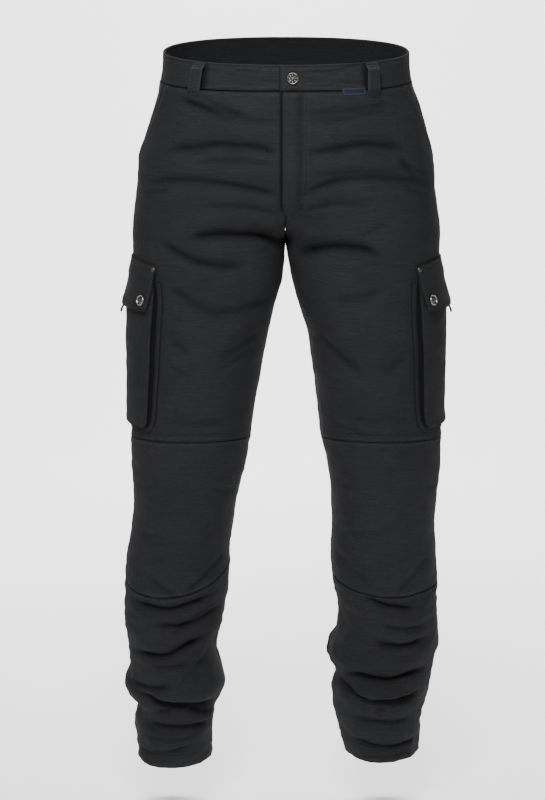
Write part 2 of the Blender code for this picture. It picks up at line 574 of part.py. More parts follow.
def add_placket():
    """Fly shield behind the fly's lapped edge, waist seam to the fly's end."""
    turns = np.linspace(*PLACKET_TURNS, 5)[None, :]
    downs = np.linspace(BAND_SEAM_FRONT + PLACKET_DROP, FLY_END_HIGH, 8)[:, None]
    turns, downs = np.broadcast_arrays(turns, downs)
    point, normal = leg_surface(LEFT, turns, downs)
    outer = point - normal * PLACKET_SET_BACK
    add_wall("fly_placket", outer, outer - normal * PATCH_CLOTH, SHADED_CANVAS)


def pocket_surface(side, ahead, down):
    """Thigh points and normals, ahead metres in front of the outseam along the cloth."""
    return leg_surface(side, 0.5 - ahead / THIGH_ROUND, down)


def face_stand(ahead, down):
    """Height of the cargo pocket's face over the thigh, underside of its cloth."""
    knots = np.array([row.down for row in FACE_STANDS])
    middle = smooth_curve(down, knots, np.array([row.height for row in FACE_STANDS]))
    crown = POCKET_CROWN * np.clip(np.abs(ahead) / POCKET_HALF, 0.0, 1.2) ** 2
    return FACE_STANDS[0].height + (middle - FACE_STANDS[0].height) * (1.0 - crown)


def face_bottom(ahead):
    """Lower edge of the pocket's face, with its round corners."""
    past = np.clip(np.abs(ahead) - (POCKET_HALF - POCKET_CORNER), 0.0, POCKET_CORNER)
    return POCKET_BOTTOM - POCKET_CORNER + np.sqrt(POCKET_CORNER ** 2 - past ** 2)


def raise_wall(name, side, ahead, down, stand, look=CANVAS, cloth=PATCH_CLOTH):
    """Wall over the thigh: its underside stands this high over the panel's points."""
    ahead, down = np.broadcast_arrays(ahead, down)
    point, normal = pocket_surface(side, ahead, down)
    inner = point + normal * stand[..., None]
    return add_wall(name, inner + normal * cloth, inner, look)


def add_pocket_face(side):
    """Outer face of the cargo pocket."""
    inside = POCKET_HALF - POCKET_CORNER
    corner = POCKET_CORNER * np.sin(np.radians([30.0, 60.0, 90.0]))
    ahead = np.concatenate([-(inside + corner)[::-1], np.linspace(-inside, inside, 7), inside + corner])
    part = np.linspace(0.0, 1.0, 9)[:, None]
    down = POCKET_TOP + (face_bottom(ahead) - POCKET_TOP)[None, :] * part
    ahead = np.broadcast_to(ahead, down.shape)
    raise_wall(f"cargo_pocket_face_{SIDE_NAMES[side]}", side, ahead, down, face_stand(ahead, down))


def gusset_path(grow):
    """Stations down the front edge, round the bottom and up the back, grown outwards."""
    half, bottom = POCKET_HALF - GUSSET_INSET, POCKET_BOTTOM - GUSSET_INSET
    inside, straight = half - POCKET_CORNER, bottom - POCKET_CORNER
    stations = [(half + grow, d) for d in np.linspace(POCKET_TOP + 0.002, straight, 8)]
    for angle in np.radians([22.5, 45.0, 67.5, 90.0]):
        reach = POCKET_CORNER + grow
        stations.append((inside + reach * math.cos(angle), straight + reach * math.sin(angle)))
    run = np.linspace(inside, -inside, 9)[1:-1]
    mirrored = [(-ahead, down) for ahead, down in stations[::-1]]
    return np.array(stations + [(ahead, bottom + grow) for ahead in run] + mirrored)


def add_gusset(side):
    """Bellows strip: a flange sewn flat on the thigh and a wall that leans in under the face."""
    cloth, foot = PATCH_CLOTH, GUSSET_SPREAD
    profile = ((foot + FLANGE, PATCH_GAP + cloth, foot + FLANGE, PATCH_GAP),
               (foot, PATCH_GAP + cloth, foot - cloth, PATCH_GAP),
               (0.0, None, -cloth, None))
    outer, inner = [], []
    for grow_out, stand_out, grow_in, stand_in in profile:
        for grow, stand, sheet in ((grow_out, stand_out, outer), (grow_in, stand_in, inner)):
            ahead, down = gusset_path(grow).T
            if stand is None:
                stand = face_stand(ahead, down) - GUSSET_CLEAR
            point, normal = pocket_surface(side, ahead, down)
            sheet.append(point + normal * np.broadcast_to(stand, ahead.shape)[:, None])
    name = f"cargo_gusset_{SIDE_NAMES[side]}"
    add_wall(name, np.array(outer), np.array(inner), SHADED_CANVAS)


def flap_edge(ahead):
    """Level of the flap's sewn edge, lower towards its corners."""
    return FLAP_TOP + FLAP_CORNER_DROP * (ahead / FLAP_HALF_TOP) ** 2


def flap_stand(ahead, down):
    """Height of the flap's underside: down on the thigh at its top, then over the face."""
    over_face = face_stand(ahead, np.maximum(down, POCKET_TOP)) + PATCH_CLOTH + FLAP_CLEAR
    top = flap_edge(ahead)
    part = smooth_step((down - top) / (POCKET_TOP - top - 0.002))
    flare = FLAP_FLARE * smooth_step((down - POCKET_TOP) / (FLAP_BOTTOM - POCKET_TOP))
    return PATCH_GAP + (over_face - PATCH_GAP) * part + flare


def add_flap(side):
    """Flap over the pocket's mouth, wider at its sewn edge."""
    part = np.array([0.0, 0.12, 0.24, 0.36, 0.55, 0.75, 1.0])[:, None]
    half = FLAP_HALF_TOP + (FLAP_HALF_BOTTOM - FLAP_HALF_TOP) * part
    ahead = half * np.linspace(-1.0, 1.0, 12)[None, :]
    down = flap_edge(ahead) + (FLAP_BOTTOM - flap_edge(ahead)) * part
    raise_wall(f"cargo_flap_{SIDE_NAMES[side]}", side, ahead, down, flap_stand(ahead, down))


def turned_mesh(name, profile, sides):
    """Body turned about +Z from (radius, height) points that start and end on the axis."""
    rings = profile[1:-1]
    points = [(0.0, 0.0, profile[0][1])]
    for radius, height in rings:
        angles = np.arange(sides) * 2.0 * math.pi / sides
        points += [(radius * math.cos(a), radius * math.sin(a), height) for a in angles]
    points.append((0.0, 0.0, profile[-1][1]))
    faces = [(0, 1 + (k + 1) % sides, 1 + k) for k in range(sides)]
    for ring in range(len(rings) - 1):
        low, high = 1 + ring * sides, 1 + (ring + 1) * sides
        faces += [(low + k, low + (k + 1) % sides, high + (k + 1) % sides, high + k)
                  for k in range(sides)]
    last, end = 1 + (len(rings) - 1) * sides, len(points) - 1
    faces += [(last + k, last + (k + 1) % sides, end) for k in range(sides)]
    mesh = bpy.data.meshes.new(name)
    mesh.from_pydata(points, [], faces)
    return mesh


def seat(mesh, point, normal, sideways=(0.0, 0.0, 1.0)):
    """Turn a mesh made about +Z to stand on a point along its normal."""
    sideways = np.asarray(sideways, float)
    first = np.cross(sideways, normal)
    first /= np.linalg.norm(first)
    second = np.cross(normal, first)
    for vertex in mesh.vertices:
        x, y, z = vertex.co
        vertex.co = tuple(map(float, point + first * x + second * y + normal * z))


def cap_profile(radius, height):
    """Profile of a domed metal cap with a rolled edge."""
    return ((0.0, 0.0), (radius * 0.90, 0.0), (radius, height * 0.35), (radius * 0.96, height * 0.70),
            (radius * 0.78, height), (radius * 0.58, height * 0.80), (0.0, height * 0.95))


def add_cap(name, point, normal, radius, height, sides=16):
    """Domed metal cap that lies on the cloth at a point."""
    mesh = turned_mesh(name, cap_profile(radius, height), sides)
    seat(mesh, point + normal * HARDWARE_GAP, normal)
    return add_object(name, mesh, SILVER)


def flap_spot(side, ahead, down):
    """Point on the flap's outer face and the way the flap faces there."""
    step = FLAP_PROBE
    aheads = ahead + step * np.array([-1.0, 1.0, 0.0, 0.0, 0.0])
    downs = down + step * np.array([0.0, 0.0, -1.0, 1.0, 0.0])
    point, normal = pocket_surface(side, aheads, downs)
    on_flap = point + normal * (flap_stand(aheads, downs) + PATCH_CLOTH)[:, None]
    facing = np.cross(on_flap[1] - on_flap[0], on_flap[3] - on_flap[2])
    facing *= np.sign(facing @ normal[-1])
    return on_flap[-1], facing / np.linalg.norm(facing)


def add_pocket_hardware(side):
    """Snaps and rivets of one flap, front and rear, and the pull tab under its edge."""
    letter = SIDE_NAMES[side]
    for place, way in (("front", 1.0), ("rear", -1.0)):
        point, normal = flap_spot(side, way * SNAP_ACROSS, SNAP_DOWN)
        add_cap(f"flap_snap_{place}_{letter}", point, normal, SNAP_RADIUS, SNAP_HEIGHT)
        point, normal = flap_spot(side, way * RIVET_ACROSS, RIVET_DOWN)
        add_cap(f"flap_rivet_{place}_{letter}", point, normal, RIVET_RADIUS, RIVET_HEIGHT, 10)


def add_pull_tab(side):
    """Short moulded tab that hangs at the middle of the flap's lower edge."""
    part = np.array([0.0, 0.2, 0.45, 0.7, 0.9, 1.0])[:, None]
    swell = TAB_SWELL * np.sin(math.pi * part * 0.8) - TAB_TIP * smooth_step(part * 4.0 - 3.0)
    ahead = (TAB_HALF + swell) * np.linspace(-1.0, 1.0, 4)[None, :]
    down = np.broadcast_to(FLAP_BOTTOM + SEAM_GAP + TAB_LENGTH * part, ahead.shape)
    stand = face_stand(ahead, down) + PATCH_CLOTH + TAB_CLEAR + TAB_RISE * np.sin(math.pi * part * 0.5)
    raise_wall(f"pull_tab_{SIDE_NAMES[side]}", side, ahead, down, stand, RUBBER, TAB_CLOTH)


def add_waist_button():
    """Waistband button on the lapped left end, over centre front."""
    point, normal = leg_surface(LEFT, np.array(WAIST_BUTTON_TURN), np.array(WAIST_BUTTON_DOWN))
    top = point + normal * BAND_SWELL
    add_cap("waist_button", top, normal, WAIST_BUTTON_RADIUS, WAIST_BUTTON_HEIGHT, 24)


def add_label():
    """Bare woven label sewn over the seam under the left waistband."""
    turns = np.linspace(*LABEL_TURNS, 6)[None, :]
    down = band_seam_down(turns) + np.linspace(-LABEL_ABOVE, LABEL_BELOW, 3)[:, None]
    turns = np.broadcast_to(turns, down.shape)
    point, normal = leg_surface(LEFT, turns, down)
    inner = point + normal * LABEL_STAND
    add_wall("waistband_label", inner + normal * LABEL_CLOTH, inner, NAVY)


def add_belt_loop(place):
    """Loop from the rim to just under the waist seam, standing off the band in the middle."""
    part = np.array([0.0, 0.08, 0.2, 0.35, 0.5, 0.65, 0.8, 0.92, 1.0])[:, None]
    centre = place.rim_turn + (place.foot_turn - place.rim_turn) * part
    top, bottom = rim_down(centre) + LOOP_DROP, band_seam_down(centre) + LOOP_FOOT
    turns = centre + LOOP_TURN * np.array([-0.5, -0.17, 0.17, 0.5])[None, :]
    down = np.broadcast_to(top + (bottom - top) * part, turns.shape)
    point, normal = leg_surface(place.side, turns, down)
    facing = normal.mean(axis=1, keepdims=True)
    facing = facing / np.linalg.norm(facing, axis=-1, keepdims=True)
    bow = smooth_step(np.minimum(part, 1.0 - part) / LOOP_BEND)
    stand = LOOP_SEAT + (LOOP_STAND - LOOP_SEAT) * bow
    inner = point + facing * stand[..., None]
    add_wall(place.name, inner + facing * LOOP_CLOTH, inner)


def build():
    """Build every piece of the trousers."""
    for piece in list(bpy.data.objects):
        bpy.data.objects.remove(piece, do_unlink=True)
    for side in (RIGHT, LEFT):
        add_fronts(side)
        add_back(side)
        add_facing(side)
        add_gusset(side)
        add_pocket_face(side)
        add_flap(side)
        add_pocket_hardware(side)
        add_pull_tab(side)
    add_waistband()
    add_placket()
    for place in LOOP_PLACES:
        add_belt_loop(place)
    add_waist_button()
    add_label()


build()
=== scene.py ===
"""Cargo trousers, dressed: thin cloth shells with creases, seams, stitching and metal parts.

Metres, +Z up, front towards -Y. The origin is the centre of the waistband's top rim.
The wearer's right leg is at -X and the left leg at +X. A level on the cloth is "down",
its distance below the origin. A place round the cloth is "turn": 0 at the inner front edge
(centre front, then inseam), 0.25 front, 0.5 outseam, 0.75 back, 1 at the inner back edge.
"""
import logging
import math
from dataclasses import dataclass
from enum import Enum
from typing import NamedTuple, Sequence

import bpy
import numpy as np
from mathutils import Matrix


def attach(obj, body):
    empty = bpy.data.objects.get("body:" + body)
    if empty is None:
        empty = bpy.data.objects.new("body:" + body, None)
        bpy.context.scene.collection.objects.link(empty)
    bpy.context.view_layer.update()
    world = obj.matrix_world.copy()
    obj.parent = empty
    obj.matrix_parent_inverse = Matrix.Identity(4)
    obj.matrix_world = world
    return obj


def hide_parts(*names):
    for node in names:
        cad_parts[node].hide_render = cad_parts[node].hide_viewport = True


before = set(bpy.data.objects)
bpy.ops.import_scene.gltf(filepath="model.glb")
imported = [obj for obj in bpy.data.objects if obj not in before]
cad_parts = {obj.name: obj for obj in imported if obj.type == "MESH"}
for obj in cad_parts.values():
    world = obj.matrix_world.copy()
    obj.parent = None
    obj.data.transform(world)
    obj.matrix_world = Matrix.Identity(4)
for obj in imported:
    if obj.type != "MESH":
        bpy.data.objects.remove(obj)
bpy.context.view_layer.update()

Array = np.ndarray
log = logging.getLogger("trousers")
THIGH_ROUND = 0.62        # metres of cloth to one turn


class Side(Enum):
    """Wearer's side; the value is the sign of X."""

    RIGHT = -1
    LEFT = 1

    @property
    def letter(self) -> str:
        """Letter that ends the names of this side's pieces."""
        return self.name[0]


class Edge(Enum):
    """Edges of a panel's grid: first and last row, first and last column."""

    TOP = "top"
    BOTTOM = "bottom"
    FIRST = "first"
    LAST = "last"


class Section(NamedTuple):
    """Reach of one leg at a level: from the centre line across, and from the axis in depth."""

    down: float
    outer: float
    inner: float
    front: float
    back: float


class Fold(NamedTuple):
    """Crease as the front or back shows it, from one end to the other.

    across is the distance from the centre line, sag bends the middle down, width is the
    half width of the trough and depth its depth. A negative depth makes a ridge.
    """

    across0: float
    down0: float
    across1: float
    down1: float
    sag: float
    width: float
    depth: float


class Stand(NamedTuple):
    """Height of the cargo pocket's face over the thigh at a level."""

    down: float
    height: float


LEG_SECTIONS = {
    Side.RIGHT: (
        Section(-0.040, 0.180, 0.000, 0.112, 0.116),
        Section(0.000, 0.180, 0.000, 0.113, 0.118),
        Section(0.035, 0.185, 0.000, 0.115, 0.121),
        Section(0.060, 0.191, 0.000, 0.117, 0.128),
        Section(0.100, 0.204, 0.000, 0.118, 0.138),
        Section(0.140, 0.216, 0.000, 0.117, 0.146),
        Section(0.190, 0.221, 0.000, 0.114, 0.150),
        Section(0.240, 0.227, 0.000, 0.108, 0.144),
        Section(0.300, 0.228, 0.000, 0.104, 0.128),
        Section(0.350, 0.226, 0.004, 0.100, 0.112),
        Section(0.385, 0.226, 0.0175, 0.098, 0.106),
        Section(0.420, 0.226, 0.027, 0.096, 0.101),
        Section(0.500, 0.229, 0.044, 0.091, 0.092),
        Section(0.560, 0.233, 0.053, 0.088, 0.084),
        Section(0.605, 0.235, 0.060, 0.086, 0.078),
        Section(0.650, 0.231, 0.072, 0.084, 0.075),
        Section(0.700, 0.234, 0.080, 0.081, 0.075),
        Section(0.745, 0.242, 0.085, 0.077, 0.078),
        Section(0.790, 0.246, 0.087, 0.072, 0.084),
        Section(0.830, 0.249, 0.093, 0.069, 0.088),
        Section(0.880, 0.243, 0.104, 0.067, 0.090),
        Section(0.900, 0.241, 0.107, 0.067, 0.089),
        Section(0.925, 0.237, 0.101, 0.068, 0.088),
        Section(0.955, 0.248, 0.095, 0.070, 0.088),
        Section(0.975, 0.243, 0.099, 0.064, 0.083),
        Section(0.992, 0.229, 0.109, 0.059, 0.078),
        Section(1.025, 0.233, 0.113, 0.061, 0.076),
        Section(1.085, 0.228, 0.117, 0.054, 0.066),
    ),
    Side.LEFT: (
        Section(-0.040, 0.182, 0.000, 0.112, 0.116),
        Section(0.000, 0.182, 0.000, 0.113, 0.118),
        Section(0.035, 0.187, 0.000, 0.115, 0.121),
        Section(0.060, 0.198, 0.000, 0.117, 0.128),
        Section(0.100, 0.209, 0.000, 0.118, 0.138),
        Section(0.140, 0.219, 0.000, 0.117, 0.146),
        Section(0.190, 0.223, 0.000, 0.114, 0.150),
        Section(0.240, 0.230, 0.000, 0.108, 0.144),
        Section(0.300, 0.231, 0.000, 0.104, 0.128),
        Section(0.350, 0.230, 0.010, 0.100, 0.112),
        Section(0.385, 0.229, 0.022, 0.098, 0.106),
        Section(0.420, 0.229, 0.036, 0.096, 0.101),
        Section(0.500, 0.230, 0.048, 0.091, 0.092),
        Section(0.560, 0.237, 0.055, 0.088, 0.084),
        Section(0.605, 0.237, 0.065, 0.086, 0.078),
        Section(0.650, 0.233, 0.071, 0.084, 0.075),
        Section(0.700, 0.229, 0.073, 0.081, 0.075),
        Section(0.745, 0.232, 0.071, 0.077, 0.078),
        Section(0.790, 0.235, 0.075, 0.072, 0.084),
        Section(0.840, 0.235, 0.084, 0.069, 0.089),
        Section(0.865, 0.237, 0.083, 0.068, 0.090),
        Section(0.890, 0.237, 0.070, 0.068, 0.090),
        Section(0.908, 0.232, 0.067, 0.067, 0.088),
        Section(0.940, 0.228, 0.081, 0.067, 0.087),
        Section(0.960, 0.224, 0.075, 0.068, 0.087),
        Section(0.990, 0.218, 0.077, 0.060, 0.080),
        Section(1.025, 0.210, 0.084, 0.061, 0.076),
        Section(1.085, 0.208, 0.102, 0.054, 0.066),
    ),
}
FRONT_FOLDS = {
    Side.RIGHT: (
        Fold(0.155, 0.051, 0.058, 0.072, 0.002, 0.014, 0.0025),
        Fold(0.174, 0.126, 0.008, 0.126, -0.010, 0.013, 0.0047),
        Fold(0.200, 0.169, 0.009, 0.187, -0.008, 0.013, 0.0040),
        Fold(0.138, 0.248, 0.006, 0.263, -0.010, 0.014, 0.0065),
        Fold(0.184, 0.259, 0.056, 0.292, 0.010, 0.014, 0.0047),
        Fold(0.182, 0.312, 0.085, 0.368, 0.006, 0.018, 0.0029),
        Fold(0.104, 0.361, 0.015, 0.347, 0.003, 0.017, 0.0025),
        Fold(0.180, 0.387, 0.143, 0.422, 0.002, 0.016, 0.0021),
        Fold(0.100, 0.429, 0.036, 0.398, 0.002, 0.016, 0.0021),
        Fold(0.171, 0.519, 0.088, 0.527, 0.004, 0.014, 0.0015),
        Fold(0.232, 0.815, 0.111, 0.801, 0.008, 0.012, 0.0054),
        Fold(0.194, 0.847, 0.098, 0.827, 0.005, 0.013, 0.0050),
        Fold(0.230, 0.893, 0.124, 0.866, 0.010, 0.011, 0.0062),
        Fold(0.241, 0.946, 0.178, 0.940, 0.003, 0.010, 0.0050),
        Fold(0.226, 0.958, 0.107, 0.978, 0.006, 0.012, 0.0084),
        Fold(0.210, 1.005, 0.118, 1.011, 0.003, 0.011, 0.0050),
        Fold(0.229, 1.055, 0.146, 1.042, 0.002, 0.009, 0.0028),
    ),
    Side.LEFT: (
        Fold(0.039, 0.067, 0.152, 0.057, 0.003, 0.014, 0.0025),
        Fold(0.034, 0.129, 0.175, 0.123, -0.009, 0.013, 0.0047),
        Fold(0.026, 0.183, 0.205, 0.171, -0.014, 0.013, 0.0040),
        Fold(0.013, 0.280, 0.136, 0.275, -0.015, 0.014, 0.0065),
        Fold(0.074, 0.346, 0.142, 0.324, 0.003, 0.016, 0.0025),
        Fold(0.047, 0.397, 0.112, 0.451, 0.003, 0.017, 0.0025),
        Fold(0.149, 0.448, 0.182, 0.422, 0.002, 0.015, 0.0019),
        Fold(0.100, 0.520, 0.179, 0.519, 0.004, 0.014, 0.0015),
        Fold(0.122, 0.800, 0.196, 0.820, 0.004, 0.012, 0.0050),
        Fold(0.138, 0.873, 0.214, 0.875, 0.004, 0.012, 0.0056),
        Fold(0.097, 0.930, 0.214, 0.921, 0.005, 0.012, 0.0078),
        Fold(0.081, 0.944, 0.130, 0.965, 0.003, 0.011, 0.0056),
        Fold(0.130, 0.965, 0.206, 0.956, 0.005, 0.012, 0.0067),
        Fold(0.106, 1.036, 0.204, 1.040, 0.003, 0.010, 0.0045),
    ),
}
BACK_FOLDS = (
    Fold(0.030, 0.240, 0.190, 0.225, 0.010, 0.017, 0.0030),
    Fold(0.030, 0.290, 0.180, 0.262, 0.016, 0.017, 0.0050),
    Fold(0.050, 0.345, 0.185, 0.315, 0.012, 0.017, 0.0035),
    Fold(0.075, 0.585, 0.215, 0.600, 0.006, 0.016, 0.0035),
    Fold(0.085, 0.650, 0.215, 0.640, 0.010, 0.016, 0.0045),
    Fold(0.095, 0.700, 0.220, 0.715, 0.006, 0.015, 0.0035),
    Fold(0.105, 0.850, 0.225, 0.865, 0.006, 0.012, 0.0045),
    Fold(0.110, 0.912, 0.225, 0.900, 0.008, 0.012, 0.0060),
    Fold(0.105, 0.955, 0.220, 0.968, 0.006, 0.012, 0.0065),
    Fold(0.120, 1.015, 0.210, 1.008, 0.006, 0.011, 0.0050),
)
# Finer creases, seen only in the dressed cloth
FRONT_CREASES = {
    Side.RIGHT: (
        Fold(0.157, 0.052, 0.008, 0.082, 0.009, 0.007, 0.0024),
        Fold(0.116, 0.049, 0.062, 0.073, 0.002, 0.006, 0.0019),
        Fold(0.205, 0.189, 0.171, 0.180, 0.001, 0.006, 0.0015),
        Fold(0.208, 0.770, 0.160, 0.796, 0.002, 0.009, 0.0024),
        Fold(0.150, 0.792, 0.092, 0.735, 0.004, 0.009, 0.0024),
        Fold(0.170, 0.860, 0.105, 0.815, -0.002, 0.008, 0.0020),
        Fold(0.214, 1.010, 0.165, 1.022, 0.002, 0.007, 0.0020),
        Fold(0.150, 0.050, 0.071, 0.081, 0.002, 0.008, 0.0017),
        Fold(0.135, 0.140, 0.010, 0.141, -0.002, 0.009, 0.0019),
        Fold(0.121, 0.204, 0.010, 0.216, -0.004, 0.009, 0.0020),
        Fold(0.179, 0.359, 0.151, 0.372, 0.001, 0.008, 0.0014),
        Fold(0.180, 0.437, 0.134, 0.457, 0.002, 0.009, 0.0014),
        Fold(0.101, 0.447, 0.041, 0.419, 0.002, 0.009, 0.0014),
        Fold(0.224, 0.631, 0.187, 0.621, 0.001, 0.006, 0.0010),
        Fold(0.105, 0.632, 0.079, 0.640, 0.001, 0.006, 0.0010),
        Fold(0.210, 0.700, 0.150, 0.712, 0.003, 0.010, 0.0010),
        Fold(0.124, 0.869, 0.169, 0.940, 0.003, 0.010, -0.0041),
        Fold(0.196, 0.985, 0.173, 0.982, 0.001, 0.006, 0.0034),
        Fold(0.146, 0.981, 0.112, 0.998, 0.001, 0.007, 0.0037),
        Fold(0.200, 0.912, 0.150, 0.905, 0.002, 0.007, 0.0031),
        Fold(0.215, 1.028, 0.140, 1.026, 0.002, 0.007, 0.0024),
    ),
    Side.LEFT: (
        Fold(0.039, 0.081, 0.150, 0.065, 0.002, 0.007, 0.0022),
        Fold(0.029, 0.155, 0.186, 0.150, 0.003, 0.009, 0.0014),
        Fold(0.164, 0.138, 0.207, 0.159, 0.001, 0.006, 0.0017),
        Fold(0.172, 0.174, 0.209, 0.194, 0.001, 0.006, 0.0015),
        Fold(0.106, 0.248, 0.147, 0.227, 0.001, 0.007, 0.0017),
        Fold(0.072, 0.735, 0.130, 0.775, 0.003, 0.009, 0.0014),
        Fold(0.170, 0.790, 0.214, 0.740, 0.003, 0.009, 0.0020),
        Fold(0.032, 0.207, 0.117, 0.200, -0.003, 0.009, 0.0020),
        Fold(0.166, 0.133, 0.200, 0.178, 0.001, 0.007, 0.0020),
        Fold(0.076, 0.534, 0.122, 0.542, 0.001, 0.008, 0.0012),
        Fold(0.077, 0.631, 0.106, 0.623, 0.001, 0.006, 0.0010),
        Fold(0.210, 0.626, 0.229, 0.634, 0.001, 0.006, 0.0010),
        Fold(0.095, 0.700, 0.170, 0.690, 0.003, 0.010, 0.0010),
        Fold(0.150, 0.845, 0.215, 0.852, 0.003, 0.009, 0.0034),
        Fold(0.106, 0.955, 0.206, 0.951, 0.002, 0.008, -0.0031),
        Fold(0.140, 0.979, 0.155, 0.979, 0.001, 0.006, 0.0031),
        Fold(0.110, 0.995, 0.190, 1.003, 0.002, 0.008, 0.0034),
        Fold(0.115, 1.058, 0.190, 1.055, 0.001, 0.007, 0.0017),
    ),
}
BACK_CREASES = (
    Fold(0.020, 0.160, 0.150, 0.175, 0.004, 0.011, 0.0022),
    Fold(0.060, 0.385, 0.150, 0.370, 0.005, 0.010, 0.0022),
    Fold(0.070, 0.470, 0.150, 0.480, 0.004, 0.010, 0.0019),
    Fold(0.090, 0.620, 0.180, 0.615, 0.004, 0.009, 0.0029),
    Fold(0.100, 0.678, 0.190, 0.684, 0.004, 0.009, 0.0029),
    Fold(0.110, 0.790, 0.200, 0.782, 0.004, 0.009, 0.0022),
    Fold(0.110, 0.882, 0.200, 0.888, 0.004, 0.008, 0.0032),
    Fold(0.110, 0.936, 0.205, 0.930, 0.004, 0.008, 0.0032),
    Fold(0.120, 0.988, 0.205, 0.995, 0.003, 0.008, 0.0032),
)
# Wrinkles of the band, drawn tight by the button
BAND_CREASES = {
    Side.RIGHT: (
        Fold(0.114, 0.006, 0.012, 0.026, 0.004, 0.004, 0.0015),
        Fold(0.100, 0.022, 0.016, 0.031, 0.001, 0.004, 0.0011),
        Fold(0.080, 0.006, 0.014, 0.016, 0.000, 0.004, 0.0011),
    ),
    Side.LEFT: (
        Fold(0.024, 0.021, 0.118, 0.029, 0.001, 0.004, 0.0015),
        Fold(0.022, 0.014, 0.112, 0.003, 0.001, 0.004, 0.0015),
        Fold(0.030, 0.029, 0.090, 0.034, 0.000, 0.003, 0.0009),
    ),
}
FACE_STANDS = (
    Stand(0.317, 0.0036),
    Stand(0.335, 0.0070),
    Stand(0.360, 0.0112),
    Stand(0.420, 0.0122),
    Stand(0.500, 0.0104),
    Stand(0.545, 0.0070),
)


def smooth_step(value: Array) -> Array:
    """Rise smoothly from 0 to 1.

    Args:
        value: Numbers, of which 0 to 1 is the rise.
    Returns:
        The risen values.
    """
    value = np.clip(value, 0.0, 1.0)
    return value * value * (3.0 - 2.0 * value)


def smooth_curve(at: Array, knots: Array, values: Array) -> Array:
    """Read a curve through values at knots that never overshoots them.

    Args:
        at: Where to read.
        knots: Rising places of the values.
        values: Values at the knots.
    Returns:
        The curve's values.
    """
    steps, at = np.diff(knots), np.clip(at, knots[0], knots[-1])
    slopes = np.diff(values) / steps
    before, after = slopes[:-1], slopes[1:]
    same_way = before * after > 0.0
    total = np.where(same_way, before + after, 1.0)
    middle = np.where(same_way, 2.0 * before * after / total, 0.0)
    tangents = np.concatenate([slopes[:1], middle, slopes[-1:]])
    cell = np.clip(np.searchsorted(knots, at) - 1, 0, len(steps) - 1)
    part = (at - knots[cell]) / steps[cell]
    rest = 1.0 - part
    return (values[cell] * (1.0 + 2.0 * part) * rest ** 2
            + values[cell + 1] * (3.0 - 2.0 * part) * part ** 2
            + steps[cell] * part * rest * (tangents[cell] * rest - tangents[cell + 1] * part))


def signed_power(value: Array, power: float) -> Array:
    """Raise to a power and keep the sign."""
    return np.sign(value) * np.abs(value) ** power


def unit(vectors: Array) -> Array:
    """Vectors drawn to length 1."""
    return vectors / np.maximum(np.linalg.norm(vectors, axis=-1, keepdims=True), 1e-12)


def cloth_noise(across: Array, along: Array, seed: float) -> Array:
    """Smooth random waves on a plane, the same each run.

    Args:
        across: First coordinate, one wave a unit.
        along: Second coordinate.
        seed: Number that picks the waves.
    Returns:
        Heights from about -1 to 1.
    """
    across, along = np.broadcast_arrays(np.asarray(across, float), np.asarray(along, float))
    x0, y0 = np.floor(across), np.floor(along)
    fx, fy = across - x0, along - y0
    sx, sy = (f * f * f * (f * (f * 6.0 - 15.0) + 10.0) for f in (fx, fy))

    def slope(dx: int, dy: int) -> Array:
        """Height of one corner's slope at the points."""
        mixed = np.sin((x0 + dx) * 127.1 + (y0 + dy) * 311.7 + seed * 74.7) * 43758.5453
        angle = (mixed - np.floor(mixed)) * 2.0 * math.pi
        return np.cos(angle) * (fx - dx) + np.sin(angle) * (fy - dy)

    low = slope(0, 0) + (slope(1, 0) - slope(0, 0)) * sx
    high = slope(0, 1) + (slope(1, 1) - slope(0, 1)) * sx
    return 1.5 * (low + (high - low) * sy)


def seam_steps(length: float, pace: float, ends: tuple[bool, bool] = (True, True)) -> Array:
    """Parts of a run from 0 to 1, close together beside the seams at its ends.

    Args:
        length: Length of the run.
        pace: Step in the open cloth.
        ends: Whether the start and the end are seams.
    Returns:
        The parts, 0 and 1 among them.
    """
    fine = np.array([0.0, 0.0007, 0.0015, 0.0024, 0.0036, 0.0052, 0.0068, 0.0078, 0.0088, 0.0105])
    start = fine / length if ends[0] else np.zeros(1)
    end = 1.0 - fine[::-1] / length if ends[1] else np.ones(1)
    count = max(1, int(round((end[0] - start[-1]) * length / pace)))
    return np.concatenate([start, np.linspace(start[-1], end[0], count + 1)[1:-1], end])


